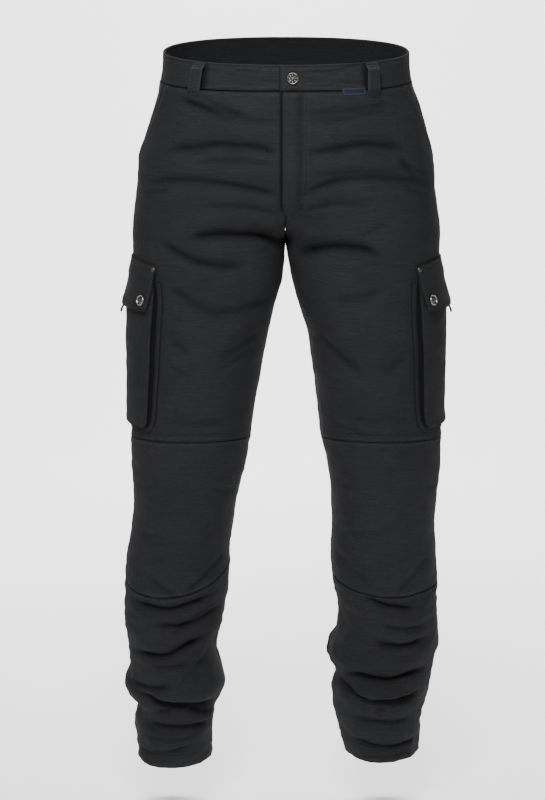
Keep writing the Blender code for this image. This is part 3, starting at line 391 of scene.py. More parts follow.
@dataclass(frozen=True)
class LegForm:
    """Form of one side of the trousers, waist to hem, before any fold."""

    side: Side
    seam_y: float = 0.010
    section_power: float = 0.85
    hip_down: float = 0.10
    thigh_down: float = 0.36
    rise_down: float = 0.12
    crotch_down: float = 0.30
    crotch_power: float = 2.3
    under_down: float = 0.22
    crotch_lift: float = 0.045
    lift_end: float = 0.47
    lift_reach: float = 0.20
    edge_blend: float = 0.15
    rim_front: float = 0.002
    rim_back: float = -0.029
    band_seam_front: float = 0.038
    band_seam_back: float = 0.013
    band_seam_power: float = 1.3
    knee_top: float = 0.565
    knee_top_bow: float = -0.010
    knee_outer: float = 0.791
    knee_middle: float = 0.798
    knee_bottom_power: float = 1.4
    slant_top_turn: float = 0.386
    slant_end_down: float = 0.140

    @property
    def knee_inner(self) -> float:
        """Level where the knee panel's lower seam meets the inseam."""
        return 0.756 if self.side is Side.RIGHT else 0.781

    @property
    def hem_down(self) -> float:
        """Level of the hem."""
        return 1.076 if self.side is Side.RIGHT else 1.066

    def section(self, down: Array) -> list[Array]:
        """Read the leg's table.

        Args:
            down: Levels.
        Returns:
            Outer, inner, front and back reach at the levels.
        """
        rows = LEG_SECTIONS[self.side]
        knots = np.array([row.down for row in rows])
        return [smooth_curve(down, knots, np.array([getattr(row, name) for row in rows]))
                for name in Section._fields[1:]]

    def point(self, turn: Array, down: Array) -> Array:
        """Points of the cloth's outer face.

        Args:
            turn: Places round the cloth.
            down: Levels.
        Returns:
            Points, the last axis X, Y, Z.
        """
        turn, down = np.broadcast_arrays(np.asarray(turn, float), np.asarray(down, float))
        outer, inner, front, back = self.section(down)
        body_in, body_along = (signed_power(f(math.pi * turn), self.section_power)
                               for f in (np.sin, np.cos))
        leg_in, leg_along = np.cos(2.0 * math.pi * turn), np.sin(2.0 * math.pi * turn)
        body_depth = np.where(body_along > 0.0, front + self.seam_y, back - self.seam_y)
        leg_depth = np.where(leg_along > 0.0, front + self.seam_y, back - self.seam_y)
        body = (outer * body_in, self.seam_y - body_depth * body_along)
        leg = ((outer + inner - (outer - inner) * leg_in) / 2.0, self.seam_y - leg_depth * leg_along)
        edge = np.abs(turn - np.round(turn))
        rise = (down - self.rise_down) / (self.crotch_down - self.rise_down)
        at_seam = np.clip(rise, 0.0, 1.0) ** self.crotch_power
        elsewhere = smooth_step((down - self.hip_down) / (self.thigh_down - self.hip_down))
        weight = at_seam + (elsewhere - at_seam) * smooth_step(edge / self.edge_blend)
        rising = np.clip((down - self.under_down) / (self.crotch_down - self.under_down), 0.0, 1.0) ** 2
        falling = smooth_step((self.lift_end - down) / (self.lift_end - self.crotch_down))
        near = np.clip(1.0 - edge / self.lift_reach, 0.0, 1.0) ** 2
        lift = self.crotch_lift * np.minimum(rising, falling) * near
        across = body[0] + (leg[0] - body[0]) * weight
        depth = body[1] + (leg[1] - body[1]) * weight
        return np.stack([self.side.value * across, depth, lift - down], axis=-1)

    def surface(self, turn: Array, down: Array) -> tuple[Array, Array]:
        """Points of the outer face and the way it faces.

        Args:
            turn: Places round the cloth.
            down: Levels.
        Returns:
            Points and outward normals.
        """
        step_turn, step_down, tiny = 1e-4, 5e-4, 1e-6
        turn, down = np.broadcast_arrays(np.asarray(turn, float), np.asarray(down, float))
        point = self.point(turn, down)
        across = self.point(turn + step_turn, down) - self.point(turn - step_turn, down)
        above = point - self.point(turn, down - step_down)
        below = self.point(turn, down + step_down) - point
        normal = self.side.value * np.cross(above + below, across)
        on_centre = (np.abs(turn - np.round(turn)) < tiny) & (down < self.crotch_down + tiny)
        facing = np.where(np.round(turn) == 0, 1.0, -1.0)
        centre = np.stack([0.0 * facing, facing * above[..., 2], -facing * above[..., 1]], axis=-1)
        return point, unit(np.where(on_centre[..., None], centre, normal))

    def rim_down(self, turn: Array) -> Array:
        """Level of the waistband's top rim at each turn."""
        return self.rim_front + (self.rim_back - self.rim_front) * (1.0 - np.cos(math.pi * turn)) / 2.0

    def band_seam_down(self, turn: Array) -> Array:
        """Level of the seam under the waistband at each turn."""
        part = ((1.0 - np.cos(math.pi * turn)) / 2.0) ** self.band_seam_power
        return self.band_seam_front + (self.band_seam_back - self.band_seam_front) * part

    def knee_top_down(self, turn: Array) -> Array:
        """Level of the seam over the knee panel at each turn."""
        return self.knee_top + self.knee_top_bow * np.sin(2.0 * math.pi * np.clip(turn, 0.0, 0.5))

    def knee_bottom_down(self, turn: Array) -> Array:
        """Level of the round seam under the knee panel at each turn."""
        part = np.clip(turn / 0.5, 0.0, 1.0)
        ends = self.knee_inner + (self.knee_outer - self.knee_inner) * part
        dip = self.knee_middle - (self.knee_inner + self.knee_outer) / 2.0
        return ends + dip * np.sin(math.pi * part) ** self.knee_bottom_power

    def slant_turn(self, down: Array) -> Array:
        """Where the front ends beside the slant pocket at each level."""
        start = float(self.band_seam_down(np.array(self.slant_top_turn)))
        part = np.clip((down - start) / (self.slant_end_down - start), 0.0, 1.0)
        return self.slant_top_turn + (0.5 - self.slant_top_turn) * part


@dataclass(frozen=True)
class LegSkin:
    """Outer face of one side with its folds, creases and soft unevenness."""

    form: LegForm
    crest: float = 0.9
    trough: float = 1.7
    spread: float = 2.1
    core: float = 0.9
    core_width: float = 0.36
    dark_width: float = 0.34
    dark_depth: float = 0.0062
    full: float = 0.32
    fade: float = 0.16
    facing: float = 1.6
    waver: float = 0.0026
    thigh_round: float = THIGH_ROUND
    flat_zone: float = 0.100
    flat_margin: float = 0.012
    flat_fade: float = 0.020
    flap_top: float = 0.288
    pocket_bottom: float = 0.5385
    edge_fade_turn: float = 0.020
    edge_fade_end: float = 0.330

    def folds(self, point: Array, folds: Sequence[Fold]) -> tuple[Array, Array]:
        """How far creases push the cloth out, and the shade painted in their troughs.

        Args:
            point: Points before the creases.
            folds: The creases.
        Returns:
            Heights over the points, and how much shade is painted in a crease at each, 0 to 1.
        """
        across, down = np.abs(point[..., 0]), -point[..., 2]
        height, hollow = np.zeros_like(across), np.zeros_like(across)
        for number, fold in enumerate(folds):
            run, fall = fold.across1 - fold.across0, fold.down1 - fold.down0
            length = math.hypot(run, fall)
            part = ((across - fold.across0) * run + (down - fold.down0) * fall) / length ** 2
            way = math.copysign(1.0, run) if run else 1.0
            off = ((down - fold.down0) * abs(run) - (across - fold.across0) * fall * way) / length
            off = off - fold.sag * 4.0 * part * (1.0 - part)
            off = off + self.waver * cloth_noise(part * length / 0.045, 0.5, number + 3.7)
            ends = np.exp(-(np.clip(np.abs(part - 0.5) - self.full, 0.0, None) / self.fade) ** 2)
            crest = self.crest * np.exp(-(off / (self.spread * fold.width)) ** 2)
            trough = self.trough * np.exp(-(off / fold.width) ** 2)
            core = self.core * np.exp(-(off / (self.core_width * fold.width)) ** 2)
            height += fold.depth * ends * (crest - trough - core)
            # Painted shade in the crease's core, in full where the fold is dark_depth deep or more
            dark = ends * np.exp(-(off / (self.dark_width * fold.width)) ** 2)
            hollow = np.maximum(hollow, min(1.0, max(0.0, fold.depth / self.dark_depth)) * dark)
        return height, hollow

    def crumple(self, turn: Array, down: Array) -> Array:
        """Small soft creases all over, more of them down the shins.

        Args:
            turn: Places round the cloth.
            down: Levels.
        Returns:
            Heights over the points.
        """
        along = turn * self.thigh_round
        seed = 11.0 if self.form.side is Side.LEFT else 5.0
        bend = 0.010 * cloth_noise(along / 0.09, down / 0.09, seed)
        shin = smooth_step((down - 0.74) / 0.10)
        calm = 0.80 + 0.20 * smooth_step((down - 0.16) / 0.12)
        wide = cloth_noise(along / 0.085, (down + bend) / 0.042, seed + 1.0)
        creased = 1.0 - 2.0 * np.abs(cloth_noise(along / 0.060, (down + bend) / 0.021, seed + 2.0))
        small = cloth_noise(along / 0.022, (down + bend) / 0.011, seed + 3.0)
        return calm * (0.0013 + 0.0010 * shin) * wide + (0.00060 + 0.0009 * shin) * creased * calm \
            + (0.00026 + 0.00014 * shin) * small

    def relief(self, turn: Array, down: Array, point: Array, normal: Array) -> tuple[Array, Array]:
        """All relief of the cloth over its form, and the shade painted in its creases.

        Args:
            turn: Places round the cloth.
            down: Levels.
            point: Points of the form.
            normal: The way the form faces.
        Returns:
            Heights over the points, and how much shade is painted in a crease at each.
        """
        to_front = np.clip(-self.facing * normal[..., 1], 0.0, 1.0)
        to_back = np.clip(self.facing * normal[..., 1], 0.0, 1.0)
        front, front_painted_shade = self.folds(point, FRONT_FOLDS[self.form.side] + FRONT_CREASES[self.form.side])
        back, back_painted_shade = self.folds(point, BACK_FOLDS + BACK_CREASES)
        height = front * to_front + back * to_back + self.crumple(turn, down)
        beside = smooth_step((np.abs(turn - 0.5) * self.thigh_round - self.flat_zone) / self.flat_fade)
        above = smooth_step((self.flap_top - self.flat_margin - down) / self.flat_fade)
        below = smooth_step((down - self.pocket_bottom - self.flat_margin) / self.flat_fade)
        seam = np.clip(np.abs(turn - np.round(turn)) / self.edge_fade_turn, 0.0, 1.0)
        keep = np.clip(beside + above + below, 0.0, 1.0) * np.where(down < self.edge_fade_end, seam, 1.0)
        return height * keep, (front_painted_shade * to_front + back_painted_shade * to_back) * keep

    def at(self, turn: Array, down: Array) -> tuple[Array, Array, Array]:
        """Points of the creased cloth.

        Args:
            turn: Places round the cloth.
            down: Levels.
        Returns:
            Points, the normals of the form under them, and how much shade is painted in a crease at each.
        """
        turn, down = np.broadcast_arrays(np.asarray(turn, float), np.asarray(down, float))
        point, normal = self.form.surface(turn, down)
        height, hollow = self.relief(turn, down, point, normal)
        return point + normal * height[..., None], normal, hollow


@dataclass(frozen=True)
class SeamStyle:
    """Relief and stitch lines of a sewn edge.

    allowance is the doubled cloth beside the edge, rise how much it stands up, and
    stitch_lines the distances of the thread lines from the edge.
    """

    allowance: float = 0.0105
    rise: float = 0.0006
    stitch_lines: tuple[float, ...] = (0.0022, 0.0088)
    groove: float = 0.00042
    groove_width: float = 0.0009
    pucker: float = 0.00055
    pucker_pitch: float = 0.0080
    pucker_reach: float = 0.013
    wear: float = 0.55
    wear_place: float = 0.0030
    wear_width: float = 0.0022
    shade: float = 0.45
    shade_width: float = 0.0009
    stitch_shade: float = 0.50
    stitch_shade_uneven: float = 0.25

    def relief(self, distance: Array, along: Array, seed: float) -> Array:
        """Heights of the sewn edge.

        Args:
            distance: Distance from the edge.
            along: Distance along it.
            seed: Number that picks the puckers.
        Returns:
            Heights over the cloth.
        """
        ridge = self.rise * (1.0 - smooth_step((distance - self.allowance) / 0.0024))
        waves = cloth_noise(along / self.pucker_pitch, distance / 0.030, seed)
        height = ridge + self.pucker * waves * np.exp(-(distance / self.pucker_reach) ** 2)
        for line in self.stitch_lines:
            pull = 1.0 + 0.35 * cloth_noise(along / 0.0045, 0.0, seed + line * 1000.0)
            height = height - self.groove * pull * np.exp(-((distance - line) / self.groove_width) ** 2)
        return height

    def tones(self, distance: Array, along: Array, seed: float) -> tuple[Array, Array]:
        """Wear and painted shade of the sewn edge.

        Args:
            distance: Distance from the edge.
            along: Distance along it.
            seed: Number that picks the uneven places.
        Returns:
            How worn each point is, and how much shade is painted on it.
        """
        uneven = 0.55 + 0.45 * cloth_noise(along / 0.012, distance / 0.004, seed + 9.0)
        worn = self.wear * uneven * np.exp(-((distance - self.wear_place) / self.wear_width) ** 2)
        # Painted shade in the edge's fold and in the stitch grooves
        shade_paint = self.shade * np.exp(-(distance / self.shade_width) ** 2)
        for line in self.stitch_lines:
            near = np.exp(-((distance - line) / self.groove_width) ** 2)
            shade_paint = np.maximum(shade_paint, (self.stitch_shade - self.stitch_shade_uneven * uneven) * near)
        return worn, shade_paint


TURNED = SeamStyle(allowance=0.009, rise=0.0002, stitch_lines=(), pucker=0.0004)
TOPSTITCHED = SeamStyle()
EDGE_STITCHED = SeamStyle(allowance=0.0060, rise=0.0003, stitch_lines=(0.0020,), pucker=0.0003)


@dataclass(frozen=True)
class Graph:
    """Node tree of one material, with short calls to add nodes and join them."""

    material: bpy.types.Material

    @classmethod
    def start(cls, name: str) -> "Graph":
        """New material with its shader and nothing else joined."""
        material = bpy.data.materials.new(name)
        material.use_nodes = True
        return cls(material)

    @property
    def shader(self) -> bpy.types.Node:
        """The material's Principled shader."""
        return self.material.node_tree.nodes["Principled BSDF"]

    def add(self, kind: str, inputs: dict, **settings: object) -> bpy.types.Node:
        """Add a node.

        Args:
            kind: Blender's name of the node type.
            inputs: Value or output socket for each input, by name or place.
            settings: Properties of the node.
        Returns:
            The node.
        """
        node = self.material.node_tree.nodes.new(kind)
        for name, value in settings.items():
            setattr(node, name, value)
        for key, value in inputs.items():
            self.join(node.inputs[key], value)
        return node

    def join(self, socket: bpy.types.NodeSocket, value: object) -> None:
        """Set a socket to a value, or join it to an output."""
        if isinstance(value, bpy.types.NodeSocket):
            self.material.node_tree.links.new(value, socket)
        else:
            socket.default_value = value

    def coordinates(self, source: str, scale: tuple[float, float, float]) -> bpy.types.NodeSocket:
        """Texture place from the cloth's own map or the object, stretched by scale."""
        place = self.add("ShaderNodeTexCoord", {}).outputs[source]
        return self.add("ShaderNodeMapping", {"Vector": place, "Scale": scale}).outputs["Vector"]

    def noise(self, place: bpy.types.NodeSocket, scale: float, detail: float = 2.0) -> bpy.types.NodeSocket:
        """Smooth noise from 0 to 1 at a place."""
        return self.add("ShaderNodeTexNoise", {"Vector": place, "Scale": scale, "Detail": detail}).outputs[0]

    def ramp(self, value: bpy.types.NodeSocket, low: float, high: float,
             to_low: float = 0.0, to_high: float = 1.0) -> bpy.types.NodeSocket:
        """Map the span low to high onto the span to_low to to_high."""
        names = ("From Min", "From Max", "To Min", "To Max")
        inputs = {"Value": value, **dict(zip(names, (low, high, to_low, to_high)))}
        return self.add("ShaderNodeMapRange", inputs, clamp=True).outputs[0]

    def mix(self, factor: object, first: object, second: object) -> bpy.types.NodeSocket:
        """Blend two colours."""
        node = self.add("ShaderNodeMix", {}, data_type="RGBA")
        for key, value in ((0, factor), (6, first), (7, second)):
            self.join(node.inputs[key], value)
        return node.outputs[2]

    def attribute(self, name: str) -> bpy.types.NodeSocket:
        """Value that the mesh carries at each point."""
        return self.add("ShaderNodeAttribute", {}, attribute_name=name).outputs["Fac"]

    def finish(self, colour: bpy.types.NodeSocket, normal: bpy.types.NodeSocket, tone: bpy.types.NodeSocket,
               smoothest: float, roughest: float) -> bpy.types.Material:
        """Join colour, relief and an uneven roughness to the shader.

        Args:
            colour: The base colour.
            normal: The relief.
            tone: Noise that the roughness follows.
            smoothest: Lowest roughness.
            roughest: Highest roughness.
        Returns:
            The material.
        """
        self.join(self.shader.inputs["Base Color"], colour)
        self.join(self.shader.inputs["Roughness"], self.ramp(tone, 0.3, 0.7, smoothest, roughest))
        self.join(self.shader.inputs["Normal"], normal)
        return self.material

    def math(self, operation: str, first: object, second: object) -> bpy.types.NodeSocket:
        """Sum, product or other two-number operation."""
        return self.add("ShaderNodeMath", {0: first, 1: second}, operation=operation).outputs[0]

    def bump(self, height: bpy.types.NodeSocket, distance: float, strength: float,
             under: bpy.types.NodeSocket | None = None) -> bpy.types.NodeSocket:
        """Bump from a height, over another bump where one is given."""
        inputs: dict = {"Height": height, "Distance": distance, "Strength": strength}
        if under is not None:
            inputs["Normal"] = under
        return self.add("ShaderNodeBump", inputs).outputs[0]


def rgba(colour: Sequence[float]) -> tuple[float, float, float, float]:
    """Colour with full alpha."""
    return (colour[0], colour[1], colour[2], 1.0)


@dataclass(frozen=True)
class CanvasFinish:
    """Cotton canvas: weft streaks, fine weave, soft sheen, rubbed high places, and shade painted in creases,
    beside seams and under lapped edges.
    """

    name: str
    dark: tuple[float, float, float]
    light: tuple[float, float, float]
    rubbed: tuple[float, float, float]
    roughness: float = 0.84
    sheen: float = 0.01
    sheen_roughness: float = 0.5
    roughness_range: float = 0.07
    specular: float = 0.05
    hollow_share: float = 0.80
    hollow_tone: float = 0.28
    thread_pitch: float = 0.00085

    def material(self) -> bpy.types.Material:
        """Build the material.

        Returns:
            The material.
        """
        graph = Graph.start(self.name)
        streaks = graph.noise(graph.coordinates("UV", (0.055, 1.0, 1.0)), 520.0, 3.0)
        slubs = graph.noise(graph.coordinates("UV", (0.10, 1.0, 1.0)), 1300.0, 2.0)
        patches = graph.noise(graph.coordinates("Object", (1.0, 1.0, 1.5)), 11.0, 4.0)
        shade = graph.math("ADD", graph.ramp(streaks, 0.30, 0.70, 0.0, 0.55),
                           graph.ramp(slubs, 0.35, 0.65, 0.0, 0.45))
        colour = graph.mix(shade, rgba(self.dark), rgba(self.light))
        colour = graph.mix(graph.ramp(patches, 0.35, 0.70, 0.0, 0.35), colour, rgba(self.dark))
        grain = graph.math("MULTIPLY", graph.attribute("rubbed"), graph.ramp(slubs, 0.35, 0.62, 0.35, 1.0))
        colour = graph.mix(grain, colour, rgba(self.rubbed))
        # Painted shade: the colour darkens where the mesh carries shade
        shade_paint = graph.math("MULTIPLY", graph.attribute("hollow"), self.hollow_share)
        colour = graph.mix(shade_paint, colour, rgba([part * self.hollow_tone for part in self.dark]))
        graph.shader.inputs["Sheen Weight"].default_value = self.sheen
        graph.shader.inputs["Sheen Roughness"].default_value = self.sheen_roughness
        graph.shader.inputs["Specular IOR Level"].default_value = self.specular
        scale = 0.314 / self.thread_pitch
        place = graph.coordinates("UV", (1.0, 1.0, 1.0))
        warp, weft = (graph.add("ShaderNodeTexWave",
                                {"Vector": place, "Scale": scale, "Distortion": bent, "Detail": 1.0},
                                wave_type="BANDS", bands_direction=way).outputs["Fac"]
                      for bent, way in ((0.6, "X"), (0.8, "Y")))
        weave = graph.math("ADD", graph.math("MULTIPLY", warp, 0.4), weft)
        normal = graph.bump(streaks, 0.0011, 0.35)
        normal = graph.bump(slubs, 0.0006, 0.5, normal)
        normal = graph.bump(weave, 0.00016, 0.8, normal)
        return graph.finish(colour, normal, streaks, self.roughness - self.roughness_range,
                            self.roughness + self.roughness_range)


@dataclass(frozen=True)
class ThreadFinish:
    """Twisted sewing thread, a little glossier than the cloth."""

    name: str
    colour: tuple[float, float, float]
    roughness: float = 0.55

    def material(self) -> bpy.types.Material:
        """Build the material.

        Returns:
            The material.
        """
        graph = Graph.start(self.name)
        tone = graph.noise(graph.coordinates("Object", (1.0, 1.0, 1.0)), 260.0, 2.0)
        darker = rgba([part * 0.7 for part in self.colour])
        colour = graph.mix(graph.ramp(tone, 0.35, 0.65), darker, rgba(self.colour))
        graph.shader.inputs["Sheen Weight"].default_value = 0.02
        graph.shader.inputs["Specular IOR Level"].default_value = 0.25
        return graph.finish(colour, graph.bump(tone, 0.0002, 0.6), tone, self.roughness - 0.08,
                            self.roughness + 0.08)


@dataclass(frozen=True)
class MetalFinish:
    """Antique silver: dark in its hollows, bright where it is rubbed."""

    name: str
    bright: tuple[float, float, float]
    dark: tuple[float, float, float]
    roughness: float = 0.34

    def material(self) -> bpy.types.Material:
        """Build the material.

        Returns:
            The material.
        """
        graph = Graph.start(self.name)
        tarnish = graph.noise(graph.coordinates("Object", (1.0, 1.0, 1.0)), 420.0, 4.0)
        shine = graph.math("MULTIPLY", graph.attribute("rubbed"), graph.ramp(tarnish, 0.30, 0.60, 0.55, 1.0))
        colour = graph.mix(shine, rgba(self.dark), rgba(self.bright))
        graph.shader.inputs["Metallic"].default_value = 1.0
        return graph.finish(colour, graph.bump(tarnish, 0.00012, 0.5), tarnish, self.roughness - 0.08,
                            self.roughness + 0.16)


@dataclass(frozen=True)
class MouldedFinish:
    """Soft moulded plastic with a fine grain."""

    name: str
    colour: tuple[float, float, float]
    roughness: float = 0.48

    def material(self) -> bpy.types.Material:
        """Build the material.

        Returns:
            The material.
        """
        graph = Graph.start(self.name)
        grain = graph.noise(graph.coordinates("Object", (1.0, 1.0, 1.0)), 900.0, 2.0)
        darker = rgba([part * 0.75 for part in self.colour])
        colour = graph.mix(grain, darker, rgba(self.colour))
        return graph.finish(colour, graph.bump(grain, 0.00008, 0.6), grain, self.roughness - 0.06,
                            self.roughness + 0.1)


@dataclass(frozen=True)
class RibbonFinish:
    """Woven label ribbon: fine weft and a paler selvedge from the piece's own map."""

    name: str
    ground: tuple[float, float, float]
    border: tuple[float, float, float]

    def material(self) -> bpy.types.Material:
        """Build the material.

        Returns:
            The material.
        """
        graph = Graph.start(self.name)
        weft = graph.noise(graph.coordinates("UV", (0.2, 1.0, 1.0)), 2600.0, 2.0)
        darker = rgba([part * 0.6 for part in self.ground])
        ground = graph.mix(graph.ramp(weft, 0.3, 0.7), darker, rgba(self.ground))
        colour = graph.mix(graph.attribute("rubbed"), ground, rgba(self.border))
        graph.shader.inputs["Sheen Weight"].default_value = 0.03
        graph.shader.inputs["Specular IOR Level"].default_value = 0.25
        return graph.finish(colour, graph.bump(weft, 0.0002, 0.7), weft, 0.5, 0.7)


@dataclass(frozen=True)
class FloorFinish:
    """Matt pale studio floor, lit a little from under, with a barely uneven tone."""

    name: str
    colour: tuple[float, float, float]
    glow: float = 0.35

    def material(self) -> bpy.types.Material:
        """Build the material.

        Returns:
            The material.
        """
        graph = Graph.start(self.name)
        tone = graph.noise(graph.coordinates("Object", (1.0, 1.0, 1.0)), 1.3, 2.0)
        darker = rgba([part * 0.98 for part in self.colour])
        graph.join(graph.shader.inputs["Base Color"], graph.mix(tone, darker, rgba(self.colour)))
        graph.shader.inputs["Roughness"].default_value = 0.95
        graph.shader.inputs["Specular IOR Level"].default_value = 0.1
        graph.shader.inputs["Emission Color"].default_value = (1.0, 1.0, 1.0, 1.0)
        graph.shader.inputs["Emission Strength"].default_value = self.glow
        return graph.material


class Finishes:
    """Every finish, built once for all the pieces; cloth is the canvas with its inner face."""

    def __init__(self) -> None:
        """Build the materials."""
        self.canvas = CanvasFinish("canvas_outside", (0.0140, 0.0144, 0.0158), (0.0290, 0.0297, 0.0320),
                                   (0.042, 0.043, 0.046)).material()
        # Darker copy of the canvas, as painted shade for the fly shield under the lapped front and the belt
        # loops' inner faces
        self.shaded = CanvasFinish("canvas_bellows", (0.0070, 0.0074, 0.0082), (0.0150, 0.0155, 0.0170),
                                   (0.028, 0.029, 0.031), sheen=0.02).material()
        self.inside = CanvasFinish("canvas_inside", (0.0100, 0.0104, 0.0115), (0.0210, 0.0216, 0.0235),
                                   (0.034, 0.035, 0.037), sheen=0.02).material()
        self.cloth = [self.canvas, self.inside]
        self.thread = ThreadFinish("thread", (0.021, 0.022, 0.024)).material()
        self.silver = MetalFinish("antique_silver", (0.52, 0.50, 0.46), (0.045, 0.043, 0.040)).material()
        self.moulded = MouldedFinish("moulded_tab", (0.010, 0.012, 0.022)).material()
        self.ribbon = RibbonFinish("woven_ribbon", (0.007, 0.010, 0.026), (0.045, 0.048, 0.060)).material()
        self.floor = FloorFinish("studio_floor", (0.90, 0.90, 0.90)).material()


@dataclass(frozen=True)
class Cut:
    """Flat size of the cloth that shows, and how it is held on the garment."""

    width: float
    length: float
    area: float
    held: str = "stretched"
    rests_on: tuple[str, ...] = ()


def add_mesh(name: str, points: Array, faces: Sequence, finishes: Sequence[bpy.types.Material],
             face_finish: Array | None = None, rubbed: Array | None = None,
             hollow: Array | None = None, cloth_map: Array | None = None) -> bpy.types.Object:
    """Add a smooth closed mesh.

    Args:
        name: Name of the piece.
        points: Corner points.
        faces: Point numbers of each face.
        finishes: Materials.
        face_finish: Which material each face has.
        rubbed: How worn each point is.
        hollow: How much shade is painted at each point, in creases, beside seams and under lapped edges.
        cloth_map: Place of each point on the flat cloth, in metres.
    Returns:
        The object.
    """
    mesh = bpy.data.meshes.new(name)
    mesh.from_pydata(points.tolist(), [], [list(map(int, face)) for face in faces])
    for finish in finishes:
        mesh.materials.append(finish)
    if face_finish is not None:
        mesh.polygons.foreach_set("material_index", np.asarray(face_finish, np.int32))
    # Point values that the materials read: rubbed places, and painted shade
    for kind, values in (("rubbed", rubbed), ("hollow", hollow)):
        layer = mesh.attributes.new(kind, "FLOAT", "POINT")
        values = np.zeros(len(points)) if values is None else values
        layer.data.foreach_set("value", np.asarray(values, np.float32))
    corners = np.zeros(len(mesh.loops), np.int32)
    mesh.loops.foreach_get("vertex_index", corners)
    places = points[:, [0, 2]] if cloth_map is None else cloth_map
    layer = mesh.uv_layers.new(name="cloth")
    layer.uv.foreach_set("vector", places[corners].astype(np.float32).ravel())
    mesh.calc_loop_triangles()
    triangles = np.zeros(len(mesh.loop_triangles) * 3, np.int32)
    mesh.loop_triangles.foreach_get("vertices", triangles)
    first, second, third = (points[triangles.reshape(-1, 3)[:, k]] for k in range(3))
    if np.einsum("ij,ij->i", first, np.cross(second, third)).sum() < 0.0:
        mesh.flip_normals()
    mesh.shade_smooth()
    piece = bpy.data.objects.new(mesh.name, mesh)
    bpy.context.scene.collection.objects.link(piece)
    return piece


def dress(piece: bpy.types.Object, nodes: Sequence[str] = ()) -> bpy.types.Object:
    """Fix a piece to the garment.

    Args:
        piece: The piece.
        nodes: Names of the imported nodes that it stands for.
    Returns:
        The piece.
    """
    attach(piece, "root")
    if nodes:
        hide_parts(*nodes)
    log.info("%s: %d faces", piece.name, len(piece.data.polygons))
    return piece


